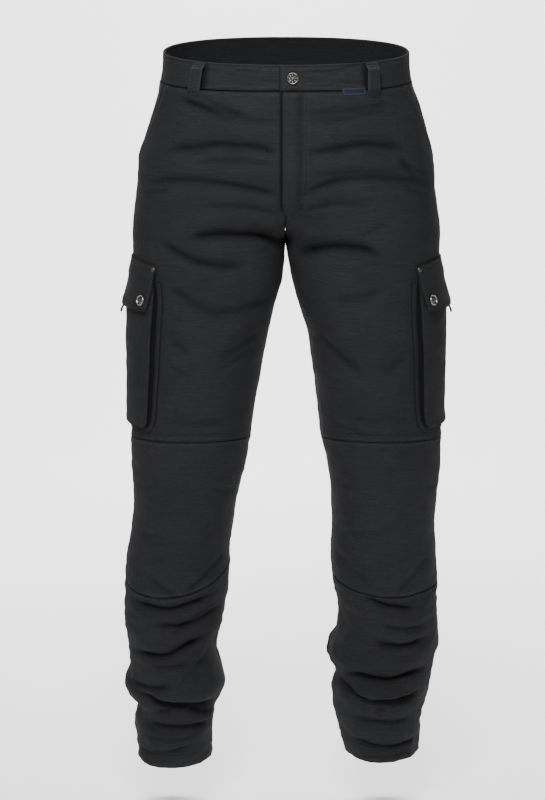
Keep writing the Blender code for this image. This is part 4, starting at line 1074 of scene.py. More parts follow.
class Panel:
    """Grid of cloth: its outer face, the way it faces, and its thickness."""

    def __init__(self, name: str, outer: Array, normal: Array, thickness: object) -> None:
        """Keep the grid.

        Args:
            name: Name of the piece.
            outer: Outer points, rows by columns.
            normal: Outward normals at the points.
            thickness: Thickness of the cloth, one number or one a point.
        """
        self.name = name
        self.outer = outer.copy()
        self.normal = normal
        self.thickness = np.broadcast_to(np.asarray(thickness, float), outer.shape[:2]).copy()
        self.flat = self.measure()
        self.rubbed = np.zeros(outer.shape[:2])
        self.hollow = np.zeros(outer.shape[:2])

    def measure(self) -> Array:
        """Place of each point on the flat cloth, from lengths along the grid."""
        across = self.distance(Edge.FIRST)
        down = self.distance(Edge.TOP)
        return np.stack([across - across[:, -1:] / 2.0, -down[:, :1] + 0.0 * down], axis=-1)

    def distance(self, edge: Edge) -> Array:
        """Distance of each point from an edge, along the grid.

        Args:
            edge: The edge.
        Returns:
            Distances, rows by columns.
        """
        axis = 0 if edge in (Edge.TOP, Edge.BOTTOM) else 1
        steps = np.linalg.norm(np.diff(self.outer, axis=axis), axis=-1)
        start = np.zeros_like(steps[:1] if axis == 0 else steps[:, :1])
        run = np.concatenate([start, np.cumsum(steps, axis=axis)], axis=axis)
        if edge in (Edge.TOP, Edge.FIRST):
            return run
        return (run[-1:] if axis == 0 else run[:, -1:]) - run

    def press(self, edge: Edge, style: SeamStyle, seed: float, share: object = 1.0) -> "Panel":
        """Raise a sewn edge's relief on the cloth, with its wear and the shade painted along it.

        Args:
            edge: The edge.
            style: The relief.
            seed: Number that picks the puckers.
            share: How much of it, one number or one a row.
        Returns:
            The panel.
        """
        distance = self.distance(edge)
        along = self.distance(Edge.TOP if edge in (Edge.FIRST, Edge.LAST) else Edge.FIRST)
        self.outer += self.normal * (share * style.relief(distance, along, seed))[..., None]
        worn, shade_paint = style.tones(distance, along, seed)
        self.rubbed = np.maximum(self.rubbed, share * worn)
        self.hollow = np.maximum(self.hollow, share * shade_paint)
        return self

    def draw_in(self, **edges: float) -> "Panel":
        """Pull edges in along the cloth, to leave room for their rolled turn.

        Args:
            edges: Distance for each edge by its name: top, bottom, first or last.
        Returns:
            The panel.
        """
        reach = 0.010
        for name, by in edges.items():
            edge = Edge(name)
            grid, far = self.outer, self.distance(edge)
            if edge in (Edge.TOP, Edge.BOTTOM):
                grid, far = grid.swapaxes(0, 1), far.T
            if edge in (Edge.BOTTOM, Edge.LAST):
                grid, far = grid[:, ::-1], far[:, ::-1]
            for line, run in zip(grid, far):
                near = run < reach
                moved = by + run[near] * (reach - by) / reach
                line[near] = np.stack([np.interp(moved, run, line[:, k]) for k in range(3)], -1)
        return self

    def line(self, edge: Edge, distance: object,
             span: tuple[float, float] = (0.0, 1.0)) -> tuple[Array, Array]:
        """Line on the cloth that keeps its distance from an edge.

        Args:
            edge: The edge.
            distance: The distance, one number or one for each grid line that it crosses.
            span: Start and end of the line as parts of its length.
        Returns:
            Points of the line and the normals there.
        """
        grid, facing, far = self.outer, self.normal, self.distance(edge)
        if edge in (Edge.TOP, Edge.BOTTOM):
            grid, facing, far = grid.swapaxes(0, 1), facing.swapaxes(0, 1), far.T
        if edge in (Edge.BOTTOM, Edge.LAST):
            grid, facing, far = grid[:, ::-1], facing[:, ::-1], far[:, ::-1]
        wanted = np.broadcast_to(np.asarray(distance, float), (len(grid),))
        cell = np.array([np.searchsorted(run, at) - 1 for run, at in zip(far, wanted)])
        cell = np.clip(cell, 0, far.shape[1] - 2)
        rows = np.arange(len(grid))
        part = (wanted - far[rows, cell]) / np.maximum(far[rows, cell + 1] - far[rows, cell], 1e-9)
        part = np.clip(part, 0.0, 1.0)[:, None]
        points = grid[rows, cell] * (1.0 - part) + grid[rows, cell + 1] * part
        normals = unit(facing[rows, cell] * (1.0 - part) + facing[rows, cell + 1] * part)
        first, last = (int(round(end * (len(points) - 1))) for end in span)
        return points[first:last + 1], normals[first:last + 1]

    def build(self, finishes: Sequence[bpy.types.Material], cut: Cut | None, nodes: Sequence[str],
              slot: str = "canvas") -> bpy.types.Object:
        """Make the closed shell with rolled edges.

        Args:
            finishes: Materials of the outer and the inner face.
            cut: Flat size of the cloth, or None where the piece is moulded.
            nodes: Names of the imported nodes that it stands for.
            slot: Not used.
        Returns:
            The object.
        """
        outer, rows, columns = self.outer, *self.outer.shape[:2]
        inner = outer - self.normal * self.thickness[..., None]
        away = np.zeros_like(outer)
        away[0] += unit(outer[0] - outer[1])
        away[-1] += unit(outer[-1] - outer[-2])
        away[:, 0] += unit(outer[:, 0] - outer[:, 1])
        away[:, -1] += unit(outer[:, -1] - outer[:, -2])
        index = np.arange(rows * columns).reshape(rows, columns)
        ring = np.concatenate([index[0], index[1:, -1], index[-1, -2::-1], index[-2:0:-1, 0]])
        middle = (outer + inner) / 2.0 + unit(away) * self.thickness[..., None] / 2.0
        points = np.concatenate([outer.reshape(-1, 3), inner.reshape(-1, 3), middle.reshape(-1, 3)[ring]])
        quads = np.stack([index[:-1, :-1], index[1:, :-1], index[1:, 1:], index[:-1, 1:]], -1).reshape(-1, 4)
        count, turn = rows * columns, np.arange(len(ring))
        after = np.roll(turn, -1)
        rolled_out = np.stack([ring, ring[after], 2 * count + after, 2 * count + turn], -1)
        rolled_in = np.stack([2 * count + turn, 2 * count + after, count + ring[after], count + ring], -1)
        faces = np.concatenate([quads, rolled_out, count + quads[:, ::-1], rolled_in])
        looks = np.concatenate([np.zeros(len(quads) + len(ring)), np.ones(len(quads) + len(ring))])
        flat, worn, shade_paint = self.flat.reshape(-1, 2), self.rubbed.reshape(-1), self.hollow.reshape(-1)
        worn, shade_paint = (np.concatenate([tone, 0.0 * tone, tone[ring]]) for tone in (worn, shade_paint))
        piece = add_mesh(self.name, points, faces, finishes, looks, worn, shade_paint,
                         np.concatenate([flat, flat, flat[ring]]))
        dress(piece, nodes)
        if cut is not None:
            shown = sum(face.area for face in list(piece.data.polygons)[:len(quads)])
            log.info("%s: %.4f m2 of a cut of %.4f", self.name, shown, cut.area)
        return piece


class ThreadWork:
    """Stitches of one sub-assembly, gathered into one mesh."""

    radius: float = 0.00026
    stitch: float = 0.0024
    pitch: float = 0.0031
    arch: float = 0.00012
    bar_pitch: float = 0.0006
    bar_lean: float = 0.00025
    bar_lift: float = 0.00035
    sides: int = 5

    def __init__(self, name: str) -> None:
        """Start with no stitches."""
        self.name = name
        self.starts: list[Array] = []
        self.ends: list[Array] = []
        self.normals: list[Array] = []

    def run(self, line: tuple[Array, Array], lift: float = 0.00020) -> None:
        """Sew a line of stitches.

        Args:
            line: Points and normals that the stitches follow.
            lift: Height of the thread over the cloth.
        """
        points, normals = line
        lengths = np.concatenate([[0.0], np.cumsum(np.linalg.norm(np.diff(points, axis=0), axis=-1))])
        count = int((lengths[-1] - self.stitch) // self.pitch) + 1
        if count < 1:
            return
        starts = np.arange(count) * self.pitch + (lengths[-1] - (count - 1) * self.pitch - self.stitch) / 2.0
        both = []
        for at in (starts, starts + self.stitch):
            place = np.stack([np.interp(at, lengths, points[:, k]) for k in range(3)], -1)
            facing = unit(np.stack([np.interp(at, lengths, normals[:, k]) for k in range(3)], -1))
            both.append((place + facing * lift, facing))
        self.starts.append(both[0][0])
        self.ends.append(both[1][0])
        self.normals.append(unit(both[0][1] + both[1][1]))

    def bar(self, centre: Array, normal: Array, way: Array, length: float, width: float) -> None:
        """Sew a bar tack: close short stitches across a line.

        Args:
            centre: Middle of the bar on the cloth.
            normal: The way the cloth faces.
            way: Direction of the bar.
            length: Its length.
            width: Length of the stitches across it.
        """
        way = unit(way - normal * (way @ normal))
        across = np.cross(normal, way)
        at = np.linspace(-0.5, 0.5, max(3, int(length / self.bar_pitch)))[:, None] * length
        lean = self.bar_lean * np.where(np.arange(len(at)) % 2, 1.0, -1.0)[:, None]
        middle = centre + normal * self.bar_lift + way * at
        self.starts.append(middle - across * width / 2.0 + way * lean)
        self.ends.append(middle + across * width / 2.0 - way * lean)
        self.normals.append(np.broadcast_to(normal, middle.shape))

    def build(self, finish: bpy.types.Material) -> bpy.types.Object:
        """Make the mesh of all the stitches.

        Args:
            finish: Material of the thread.
        Returns:
            The object.
        """
        starts, ends, normals = (np.concatenate(parts) for parts in (self.starts, self.ends, self.normals))
        along = unit(ends - starts)
        aside = unit(np.cross(along, normals))
        up = np.cross(aside, along)
        angles = np.arange(self.sides) * 2.0 * math.pi / self.sides
        rings = []
        for part, size, lift in ((0.16, 0.8, 0.0), (0.50, 1.0, self.arch), (0.84, 0.8, 0.0)):
            centre = starts + (ends - starts) * part + up * lift
            for angle in angles:
                rings.append(centre + (aside * math.cos(angle) + up * math.sin(angle)) * self.radius * size)
        sunk = self.radius * 1.1
        points = np.stack([starts - up * sunk, *rings, ends - up * sunk], axis=1)
        n, count = self.sides, points.shape[1]
        faces = [(0, 1 + (k + 1) % n, 1 + k) for k in range(n)]
        for ring in range(2):
            low, high = 1 + ring * n, 1 + (ring + 1) * n
            faces += [(low + k, low + (k + 1) % n, high + (k + 1) % n, high + k) for k in range(n)]
        faces += [(1 + 2 * n + k, 1 + 2 * n + (k + 1) % n, count - 1) for k in range(n)]
        all_faces = [tuple(corner + stitch * count for corner in face)
                     for stitch in range(len(points)) for face in faces]
        piece = add_mesh(self.name, points.reshape(-1, 3), all_faces, [finish])
        return dress(piece)


MOUTH_STITCHED = SeamStyle(allowance=0.0178, rise=0.0005, stitch_lines=(0.0130, 0.0162))
HEM_STITCHED = SeamStyle(allowance=0.0250, rise=0.0004, stitch_lines=(0.0243,), groove=0.0006, pucker=0.0008,
                         pucker_pitch=0.011, pucker_reach=0.024)
POCKET_STITCHED = SeamStyle(allowance=0.0092, rise=0.0005, stitch_lines=(0.0018, 0.0080), pucker=0.0004)
BAND_STITCHED = SeamStyle(allowance=0.0050, rise=0.0002, stitch_lines=(0.0020,), groove=0.0004, pucker=0.0003)
ROLL = 0.00115          # half a panel's thickness and half a seam's gap
BAND_ROLL = 0.00165
PATCH_ROLL = 0.00080
FACING_ROLL = 0.00095


@dataclass
class LegCloth:
    """Front and back panels of one side."""

    side: Side
    finishes: Finishes
    front_width: float = 0.30
    back_width: float = 0.34
    front_pace: float = 0.0034
    back_pace: float = 0.0043
    hip_turn: float = 0.45
    cloth: float = 0.0020
    hem_cloth: float = 0.0034
    hem_depth: float = 0.026
    hem_step: float = 0.004
    fly_shift: float = 0.005
    fly_underlap: float = 0.0030
    fly_end_high: float = 0.200
    fly_end_low: float = 0.224
    fly_raise: float = 0.0022
    fly_width_turn: float = 0.105
    fly_ramp_turn: float = 0.030
    fly_near: float = 0.040
    fly_stitch: float = 0.035
    fly_stitch_rows: tuple[float, float] = (0.0, 0.0062)
    fly_stitch_edge: float = 0.0012
    fly_groove: float = 0.0004
    fly_groove_width: float = 0.0010
    fly_shade: float = 0.0045
    fly_shade_fade: float = 0.0040
    fly_trough: float = 0.0255
    fly_trough_width: float = 0.0045
    fly_trough_depth: float = 0.0010
    fly_trough_shade: float = 0.45
    fly_stitch_turns: float = 0.172
    rise_run: float = 0.262
    thigh_run: float = 0.258
    knee_run: float = 0.240
    shin_run: float = 0.280

    def __post_init__(self) -> None:
        """Set up the side's form and its skin."""
        self.form = LegForm(self.side)
        self.skin = LegSkin(self.form)
        self.threads = ThreadWork(f"topstitching_leg_{self.side.letter}")

    def wall(self, down: Array) -> Array:
        """Thickness of the cloth at each level, doubled in the hem."""
        turned_up = smooth_step((down - self.form.hem_down + self.hem_depth + self.hem_step) / self.hem_step)
        return self.cloth + (self.hem_cloth - self.cloth) * turned_up

    def marks(self, turn: Array) -> list[Array]:
        """Levels of the waist seam, the crotch, both knee seams and the hem at each turn."""
        form = self.form
        return [form.band_seam_down(turn), form.crotch_down + 0.0 * turn, form.knee_top_down(turn),
                form.knee_bottom_down(turn), form.hem_down + 0.0 * turn]

    def level(self, turn: Array, run: int, part: Array) -> Array:
        """Levels part of the way down one of the four runs between the marks."""
        marks = self.marks(turn)
        return marks[run] + (marks[run + 1] - marks[run]) * part

    def front_grid(self, runs: Sequence[tuple[int, Array]]) -> tuple[Array, Array]:
        """Places of a front panel's points.

        Args:
            runs: Number and parts of each run of rows.
        Returns:
            Turns and levels, rows by columns.
        """
        columns = seam_steps(self.front_width, self.front_pace)[None, :]
        turns, downs = [], []
        for number, (run, parts) in enumerate(runs):
            parts = parts[1 if number else 0:, None]
            edge = self.form.slant_turn(self.level(np.array(self.hip_turn), run, parts))
            turns.append(edge * columns)
            downs.append(self.level(turns[-1], run, parts))
        return np.concatenate(turns), np.concatenate(downs)

    def fly(self, down: Array) -> Array:
        """1 beside the fly and 0 below its end."""
        return 1.0 - smooth_step((down - self.fly_end_high) / (self.fly_end_low - self.fly_end_high))

    def front_panel(self, name: str, runs: Sequence[tuple[int, Array]]) -> Panel:
        """Panel of creased cloth from runs of rows.

        Args:
            name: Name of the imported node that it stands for.
            runs: Number and parts of each run of rows.
        Returns:
            The panel.
        """
        turns, downs = self.front_grid(runs)
        points, normals, hollow = self.skin.at(turns, downs)
        fly = self.fly(downs)
        shift = self.fly_shift
        if self.side is Side.LEFT:
            raised = smooth_step((self.fly_width_turn - turns) / self.fly_ramp_turn)
            points = points + normals * (self.fly_raise * fly * raised)[..., None]
        else:
            shift = shift - self.fly_underlap
        near = 1.0 - smooth_step(np.abs(points[..., 0]) / self.fly_near)
        points[..., 0] -= shift * fly * near
        panel = Panel(f"canvas_{name}_{self.side.letter}", points, normals, self.wall(downs))
        # Painted shadow by the fly: on the right front where the left front laps it, and on the left front in
        # the trough beside the fly
        if self.side is Side.RIGHT:
            beside = 1.0 - smooth_step((panel.distance(Edge.FIRST) - self.fly_shade) / self.fly_shade_fade)
            hollow = np.maximum(hollow, beside * fly)
        else:
            strip = np.exp(-((panel.distance(Edge.FIRST) - self.fly_trough) / self.fly_trough_width) ** 2)
            panel.outer -= normals * (self.fly_trough_depth * strip * fly)[..., None]
            hollow = np.maximum(hollow, self.fly_trough_shade * strip * fly)
        panel.hollow = hollow
        panel.flat = np.stack([turns * self.skin.thigh_round, -downs], axis=-1)
        self.downs = downs
        return panel

    def build_thigh(self) -> None:
        """Front thigh with its fly, slant edge and the start of the knee seam."""
        runs = [(0, seam_steps(self.rise_run, self.front_pace, (True, False))),
                (1, seam_steps(self.thigh_run, self.front_pace, (False, True)))]
        panel = self.front_panel("front_thigh", runs)
        down = self.downs[:, 0]
        slant = (1.0 - smooth_step((self.downs[:, -1] - self.form.slant_end_down) / 0.010))[:, None]
        panel.draw_in(top=ROLL, bottom=ROLL, first=ROLL, last=ROLL)
        panel.press(Edge.TOP, TURNED, 1.0).press(Edge.BOTTOM, TOPSTITCHED, 2.0)
        panel.press(Edge.LAST, MOUTH_STITCHED, 3.0, slant).press(Edge.LAST, TURNED, 4.0, 1.0 - slant)
        below_fly = smooth_step((down - self.fly_end_low + 0.006) / 0.006)[:, None]
        panel.press(Edge.FIRST, EDGE_STITCHED if self.side is Side.LEFT else TURNED, 5.0, below_fly)
        end = float(np.searchsorted(self.downs[:, -1], self.form.slant_end_down)) / len(down)
        for low, side in zip(TOPSTITCHED.stitch_lines, MOUTH_STITCHED.stitch_lines):
            self.threads.run(panel.line(Edge.BOTTOM, low))
            self.threads.run(panel.line(Edge.LAST, side, (0.0, end)))
        self.stitch_pocket_ends(panel, end)
        if self.side is Side.LEFT:
            self.stitch_fly(panel, down)
        nodes = [f"front_thigh_{self.side.letter}"]
        panel.build(self.finishes.cloth, Cut(0.34, 0.55, 0.145), nodes)

    def stitch_pocket_ends(self, panel: Panel, end: float) -> None:
        """Bar tacks at both ends of the slant pocket's mouth.

        Args:
            panel: The front thigh.
            end: Where the mouth ends, as a part of the panel's side edge.
        """
        points, normals = panel.line(Edge.LAST, 0.0090)
        for place in (int(0.022 * len(points)), int(end * len(points)) - 1):
            down_way = unit(points[place + 2] - points[place])
            way = unit(np.cross(normals[place], down_way))
            for lean in (-0.7, 0.7):
                centre = points[place] + way * math.copysign(0.0032, lean)
                self.threads.bar(centre, normals[place], way + lean * down_way, 0.0095, 0.0018)

    def stitch_fly(self, panel: Panel, down: Array) -> None:
        """Curved stitch line of the fly with its bar tack.

        Args:
            panel: The left front thigh.
            down: Levels of the panel's rows.
        """
        run = self.fly_end_low - self.fly_stitch_turns
        turn_in = np.clip((down - self.fly_stitch_turns) / run, 0.0, 1.0)
        last = int(np.searchsorted(down, self.fly_end_low - 0.0008))
        for inset in self.fly_stitch_rows:
            distance = (self.fly_stitch - inset) * np.sqrt(np.clip(1.0 - turn_in ** 2, 0.0, 1.0))
            distance = distance + self.fly_stitch_edge
            off = panel.distance(Edge.FIRST) - distance[:, None]
            groove = np.exp(-(off / self.fly_groove_width) ** 2) * (down < self.fly_end_low)[:, None]
            panel.outer -= panel.normal * (self.fly_groove * groove)[..., None]
            self.threads.run(panel.line(Edge.FIRST, distance, (0.0, last / (len(down) - 1.0))))
        row = int(np.searchsorted(down, self.fly_end_low - 0.006))
        points, normals = panel.line(Edge.FIRST, 0.0040)
        self.threads.bar(points[row], normals[row], np.array([0.0, 0.0, 1.0]), 0.0095, 0.0022)

    def build_knee(self) -> None:
        """Knee panel between its straight and its round seam."""
        panel = self.front_panel("front_knee", [(2, seam_steps(self.knee_run, self.front_pace))])
        panel.draw_in(top=ROLL, bottom=ROLL, first=ROLL, last=ROLL)
        for number, edge in enumerate(Edge):
            panel.press(edge, TURNED, 6.0 + number)
        panel.build(self.finishes.cloth, Cut(0.31, 0.25, 0.068),
                    [f"front_knee_{self.side.letter}"])

    def build_shin(self) -> None:
        """Front shin from the round knee seam to the stitched hem."""
        panel = self.front_panel("front_shin", [(3, seam_steps(self.shin_run, self.front_pace))])
        panel.draw_in(top=ROLL, first=ROLL, last=ROLL)
        panel.press(Edge.TOP, TOPSTITCHED, 10.0).press(Edge.BOTTOM, HEM_STITCHED, 11.0)
        panel.press(Edge.FIRST, TURNED, 12.0).press(Edge.LAST, TURNED, 13.0)
        for line in TOPSTITCHED.stitch_lines:
            self.threads.run(panel.line(Edge.TOP, line))
        self.threads.run(panel.line(Edge.BOTTOM, HEM_STITCHED.stitch_lines[0]))
        panel.build(self.finishes.cloth, Cut(0.28, 0.30, 0.068),
                    [f"front_shin_{self.side.letter}"])

    def build_back(self) -> None:
        """Back panel, waist seam to hem, its rows meeting the front's at both side seams."""
        runs = [(0, seam_steps(self.rise_run, self.back_pace, (True, False))),
                (1, seam_steps(self.thigh_run, self.back_pace, (False, False))),
                (2, seam_steps(self.knee_run, self.back_pace, (False, False))),
                (3, seam_steps(self.shin_run, self.back_pace, (False, True)))]
        turns = 0.5 + 0.5 * seam_steps(self.back_width, self.back_pace)[None, :]
        downs = []
        for number, (run, parts) in enumerate(runs):
            parts = parts[1 if number else 0:, None]
            outseam, inseam = (self.level(np.array(turn), run, parts) for turn in (0.5, 0.0))
            row = outseam + (inseam - outseam) * (turns - 0.5) / 0.5
            if run == 0:
                top = outseam[0] + (inseam[0] - outseam[0]) * (turns - 0.5) / 0.5
                row = row + (1.0 - parts) * (self.form.band_seam_down(turns) - top)
            downs.append(row)
        downs = np.concatenate(downs)
        turns = np.broadcast_to(turns, downs.shape)
        points, normals, hollow = self.skin.at(turns, downs)
        panel = Panel(f"canvas_back_{self.side.letter}", points, normals, self.wall(downs))
        panel.hollow = hollow
        panel.flat = np.stack([turns * self.skin.thigh_round, -downs], axis=-1)
        panel.draw_in(top=ROLL, first=ROLL, last=ROLL)
        above = (downs[:, -1] < self.form.crotch_down)[:, None]
        panel.press(Edge.TOP, TURNED, 14.0).press(Edge.BOTTOM, HEM_STITCHED, 15.0)
        panel.press(Edge.FIRST, EDGE_STITCHED, 16.0)
        centre_style = TOPSTITCHED if self.side is Side.LEFT else TURNED
        panel.press(Edge.LAST, centre_style, 17.0, above).press(Edge.LAST, TOPSTITCHED, 18.0, ~above)
        crotch = float(np.count_nonzero(above)) / len(downs)
        for line in TOPSTITCHED.stitch_lines:
            self.threads.run(panel.line(Edge.LAST, line, (crotch + 0.01, 1.0)))
            if self.side is Side.LEFT:
                self.threads.run(panel.line(Edge.LAST, line, (0.0, crotch - 0.01)))
        self.threads.run(panel.line(Edge.FIRST, EDGE_STITCHED.stitch_lines[0]))
        self.threads.run(panel.line(Edge.BOTTOM, HEM_STITCHED.stitch_lines[0]))
        panel.build(self.finishes.cloth, Cut(0.38, 1.07, 0.335),
                    [f"back_{self.side.letter}"])

    def build(self) -> None:
        """Build all four panels and their stitching."""
        self.build_thigh()
        self.build_knee()
        self.build_shin()
        self.build_back()
        self.threads.build(self.finishes.thread)


@dataclass
class Waist:
    """Waistband, fly shield, hip pieces in the slant pockets, and label."""

    finishes: Finishes
    cloth: float = 0.0030
    swell: float = 0.0006
    underlap_turn: float = 0.038
    tip_turn: float = 0.008
    clear_turn: float = 0.012
    ramp_turn: float = 0.024
    set_back: float = 0.0037
    loop_shade_shift: float = 0.016
    loop_shade_width: float = 0.016
    loop_shade_share: float = 0.9
    left_loop_turn: float = 0.213
    right_loop_turn: float = 0.222
    pace: float = 0.0036
    placket_turns: tuple[float, float] = (-0.030, 0.045)
    placket_set_back: float = 0.0042
    placket_drop: float = 0.004
    placket_end: float = 0.200
    patch_cloth: float = 0.0016
    facing_underlap_turn: float = 0.030
    facing_ramp_turn: float = 0.020
    facing_set_back: float = 0.0036
    facing_end_down: float = 0.165

    def __post_init__(self) -> None:
        """Set up the forms of both sides."""
        self.forms = {side: LegForm(side) for side in Side}
        self.threads = ThreadWork("topstitching_waist")

    def band_grid(self, side: Side, turns: Array, set_back: object = 0.0) -> tuple[Array, Array]:
        """Points of a run of band.

        Args:
            side: Side of the garment.
            turns: Places round the waist.
            set_back: How far behind the waist's form each column lies.
        Returns:
            Points and normals.
        """
        form = self.forms[side]
        part = seam_steps(0.040, 0.0026)[:, None]
        top, bottom = form.rim_down(turns)[None, :], form.band_seam_down(turns)[None, :]
        downs = top + (bottom - top) * part
        points, normals = form.surface(np.broadcast_to(turns, downs.shape), downs)
        proud = self.swell * np.sin(math.pi * part) - set_back * np.ones(turns.shape)
        metres = turns[None, :] * THIGH_ROUND
        near_button = np.exp(-((turns[None, :] - 0.05) / 0.06) ** 2)
        crease = cloth_noise(metres / 0.050 + side.value * 9.0, part / 0.24, 31.0) * np.sin(math.pi * part)
        pulled, _ = LegSkin(form).folds(points, BAND_CREASES[side])
        proud = proud + crease * (0.00035 + 0.0005 * near_button) + pulled * (turns[None, :] < 0.5)
        return points + normals * proud[..., None], normals

    def loop_shade(self, turns: Array, loop_turn: float) -> Array:
        """How much a belt loop's front edge shades the band behind it at each turn."""
        off = turns - loop_turn + self.loop_shade_shift
        return self.loop_shade_share * np.exp(-(off / self.loop_shade_width) ** 4)

    def build_bands(self) -> None:
        """Two front bands that lap at centre front, and the back band."""
        cloth = self.finishes.cloth
        left = -self.tip_turn + (0.5 + self.tip_turn) * seam_steps(0.31, self.pace)
        points, normals = self.band_grid(Side.LEFT, left)
        band = Panel("band_front_L", points, normals, self.cloth)
        band.draw_in(bottom=BAND_ROLL, last=BAND_ROLL)
        # Painted shadow of the front belt loop on the band
        band.hollow += self.loop_shade(left, self.left_loop_turn)
        self.edge_stitch(band, (Edge.TOP, Edge.BOTTOM, Edge.FIRST), 40.0)
        band.build(cloth, Cut(0.32, 0.042, 0.0130), ["waistband_front_L"])
        right = -self.underlap_turn + (0.5 + self.underlap_turn) * seam_steps(0.33, self.pace)
        back = self.set_back * (1.0 - smooth_step((right - self.clear_turn) / self.ramp_turn))
        points, normals = self.band_grid(Side.RIGHT, right, back)
        band = Panel("band_front_R", points, normals, self.cloth)
        band.draw_in(bottom=BAND_ROLL, last=BAND_ROLL)
        # Painted shadow of the front belt loop on the band
        band.hollow += self.loop_shade(right, self.right_loop_turn)
        self.edge_stitch(band, (Edge.TOP, Edge.BOTTOM), 44.0)
        band.build(cloth, Cut(0.34, 0.042, 0.0138), ["waistband_front_R"])
        half = 0.5 + 0.5 * seam_steps(0.29, self.pace, (True, False))
        right_points, right_normals = self.band_grid(Side.RIGHT, half)
        left_points, left_normals = self.band_grid(Side.LEFT, half[-2::-1])
        band = Panel("band_back", np.concatenate([right_points, left_points], axis=1),
                     np.concatenate([right_normals, left_normals], axis=1), self.cloth)
        band.draw_in(bottom=BAND_ROLL, first=BAND_ROLL, last=BAND_ROLL)
        self.edge_stitch(band, (Edge.TOP, Edge.BOTTOM), 48.0)
        band.build(cloth, Cut(0.60, 0.044, 0.0245), ["waistband_back"])

    def edge_stitch(self, band: Panel, edges: Sequence[Edge], seed: float) -> None:
        """Press and sew edges of a band.

        Args:
            band: The band.
            edges: The edges to sew.
            seed: Number that picks the puckers.
        """
        for number, edge in enumerate(edges):
            band.press(edge, BAND_STITCHED, seed + number)
        for edge in edges:
            self.threads.run(band.line(edge, BAND_STITCHED.stitch_lines[0], (0.012, 0.988)))

    def build_placket(self) -> None:
        """Fly shield behind the lapped edge."""
        form = self.forms[Side.LEFT]
        low, high = self.placket_turns
        top = form.band_seam_front + self.placket_drop
        turns = low + (high - low) * seam_steps(0.05, 0.004)
        downs = top + (self.placket_end - top) * seam_steps(0.16, 0.005)
        turns, downs = np.broadcast_arrays(turns[None, :], downs[:, None])
        points, normals = form.surface(turns, downs)
        panel = Panel("fly_shield", points - normals * self.placket_set_back, normals, self.patch_cloth)
        panel.draw_in(first=PATCH_ROLL, last=PATCH_ROLL)
        panel.press(Edge.FIRST, EDGE_STITCHED, 52.0)
        # Darker canvas on the outer face, as painted shade under the lapped front
        panel.build([self.finishes.shaded, self.finishes.inside], Cut(0.05, 0.16, 0.0078), ["fly_placket"])

    def build_facing(self, side: Side) -> None:
        """Piece of the hip that shows in the slant pocket.

        Args:
            side: Side of the garment.
        """
        form = self.forms[side]
        part = seam_steps(0.14, 0.0032, (True, False))[:, None]
        top = float(form.band_seam_down(np.array(0.45)))
        edge = form.slant_turn(top + (self.facing_end_down - top) * part)
        first = np.minimum(edge - self.facing_underlap_turn, 0.488)
        turns = first + (0.5 - first) * seam_steps(0.10, 0.0032, (False, True))[None, :]
        seam = form.band_seam_down(turns)
        downs = seam + (self.facing_end_down - seam) * part
        points, normals, _ = LegSkin(form).at(turns, downs)
        past_edge = (turns - form.slant_turn(downs)) / self.facing_ramp_turn
        points = points - normals * (self.facing_set_back * (1.0 - smooth_step(past_edge)))[..., None]
        panel = Panel(f"hip_facing_{side.letter}", points, normals, self.patch_cloth)
        panel.flat = np.stack([turns * THIGH_ROUND, -downs], axis=-1)
        panel.draw_in(top=FACING_ROLL, last=FACING_ROLL)
        panel.press(Edge.TOP, TURNED, 55.0).press(Edge.LAST, TURNED, 56.0)
        panel.build(self.finishes.cloth, Cut(0.10, 0.14, 0.0072),
                    [f"hip_pocket_facing_{side.letter}"])

    def build_label(self) -> None:
        """Bare woven ribbon sewn over the seam under the left band."""
        form = self.forms[Side.LEFT]
        turns = np.linspace(0.120, 0.186, 40)[None, :]
        downs = form.band_seam_down(turns) + np.linspace(-0.0045, 0.0065, 14)[:, None]
        turns = np.broadcast_to(turns, downs.shape)
        points, normals = form.surface(turns, downs)
        panel = Panel("ribbon_label", points + normals * 0.0019, normals, 0.0010)
        inset = np.minimum.reduce([panel.distance(edge) for edge in Edge])
        panel.rubbed = np.exp(-((inset - 0.0016) / 0.0005) ** 2) * 0.8
        for edge in (Edge.FIRST, Edge.LAST):
            self.threads.run(panel.line(edge, 0.0009), 0.0001)
        panel.build([self.finishes.ribbon, self.finishes.ribbon], Cut(0.038, 0.011, 0.0004),
                    ["waistband_label"], "label")

    def build(self) -> None:
        """Build the waist's cloth and its stitching."""
        self.build_bands()
        self.build_placket()
        for side in Side:
            self.build_facing(side)
        self.build_label()
        self.threads.build(self.finishes.thread)


class LoopPlace(NamedTuple):
    """Where a belt loop is sewn: turn at the rim and at the foot."""

    name: str
    side: Side
    rim_turn: float
    foot_turn: float
    width: float = 0.016


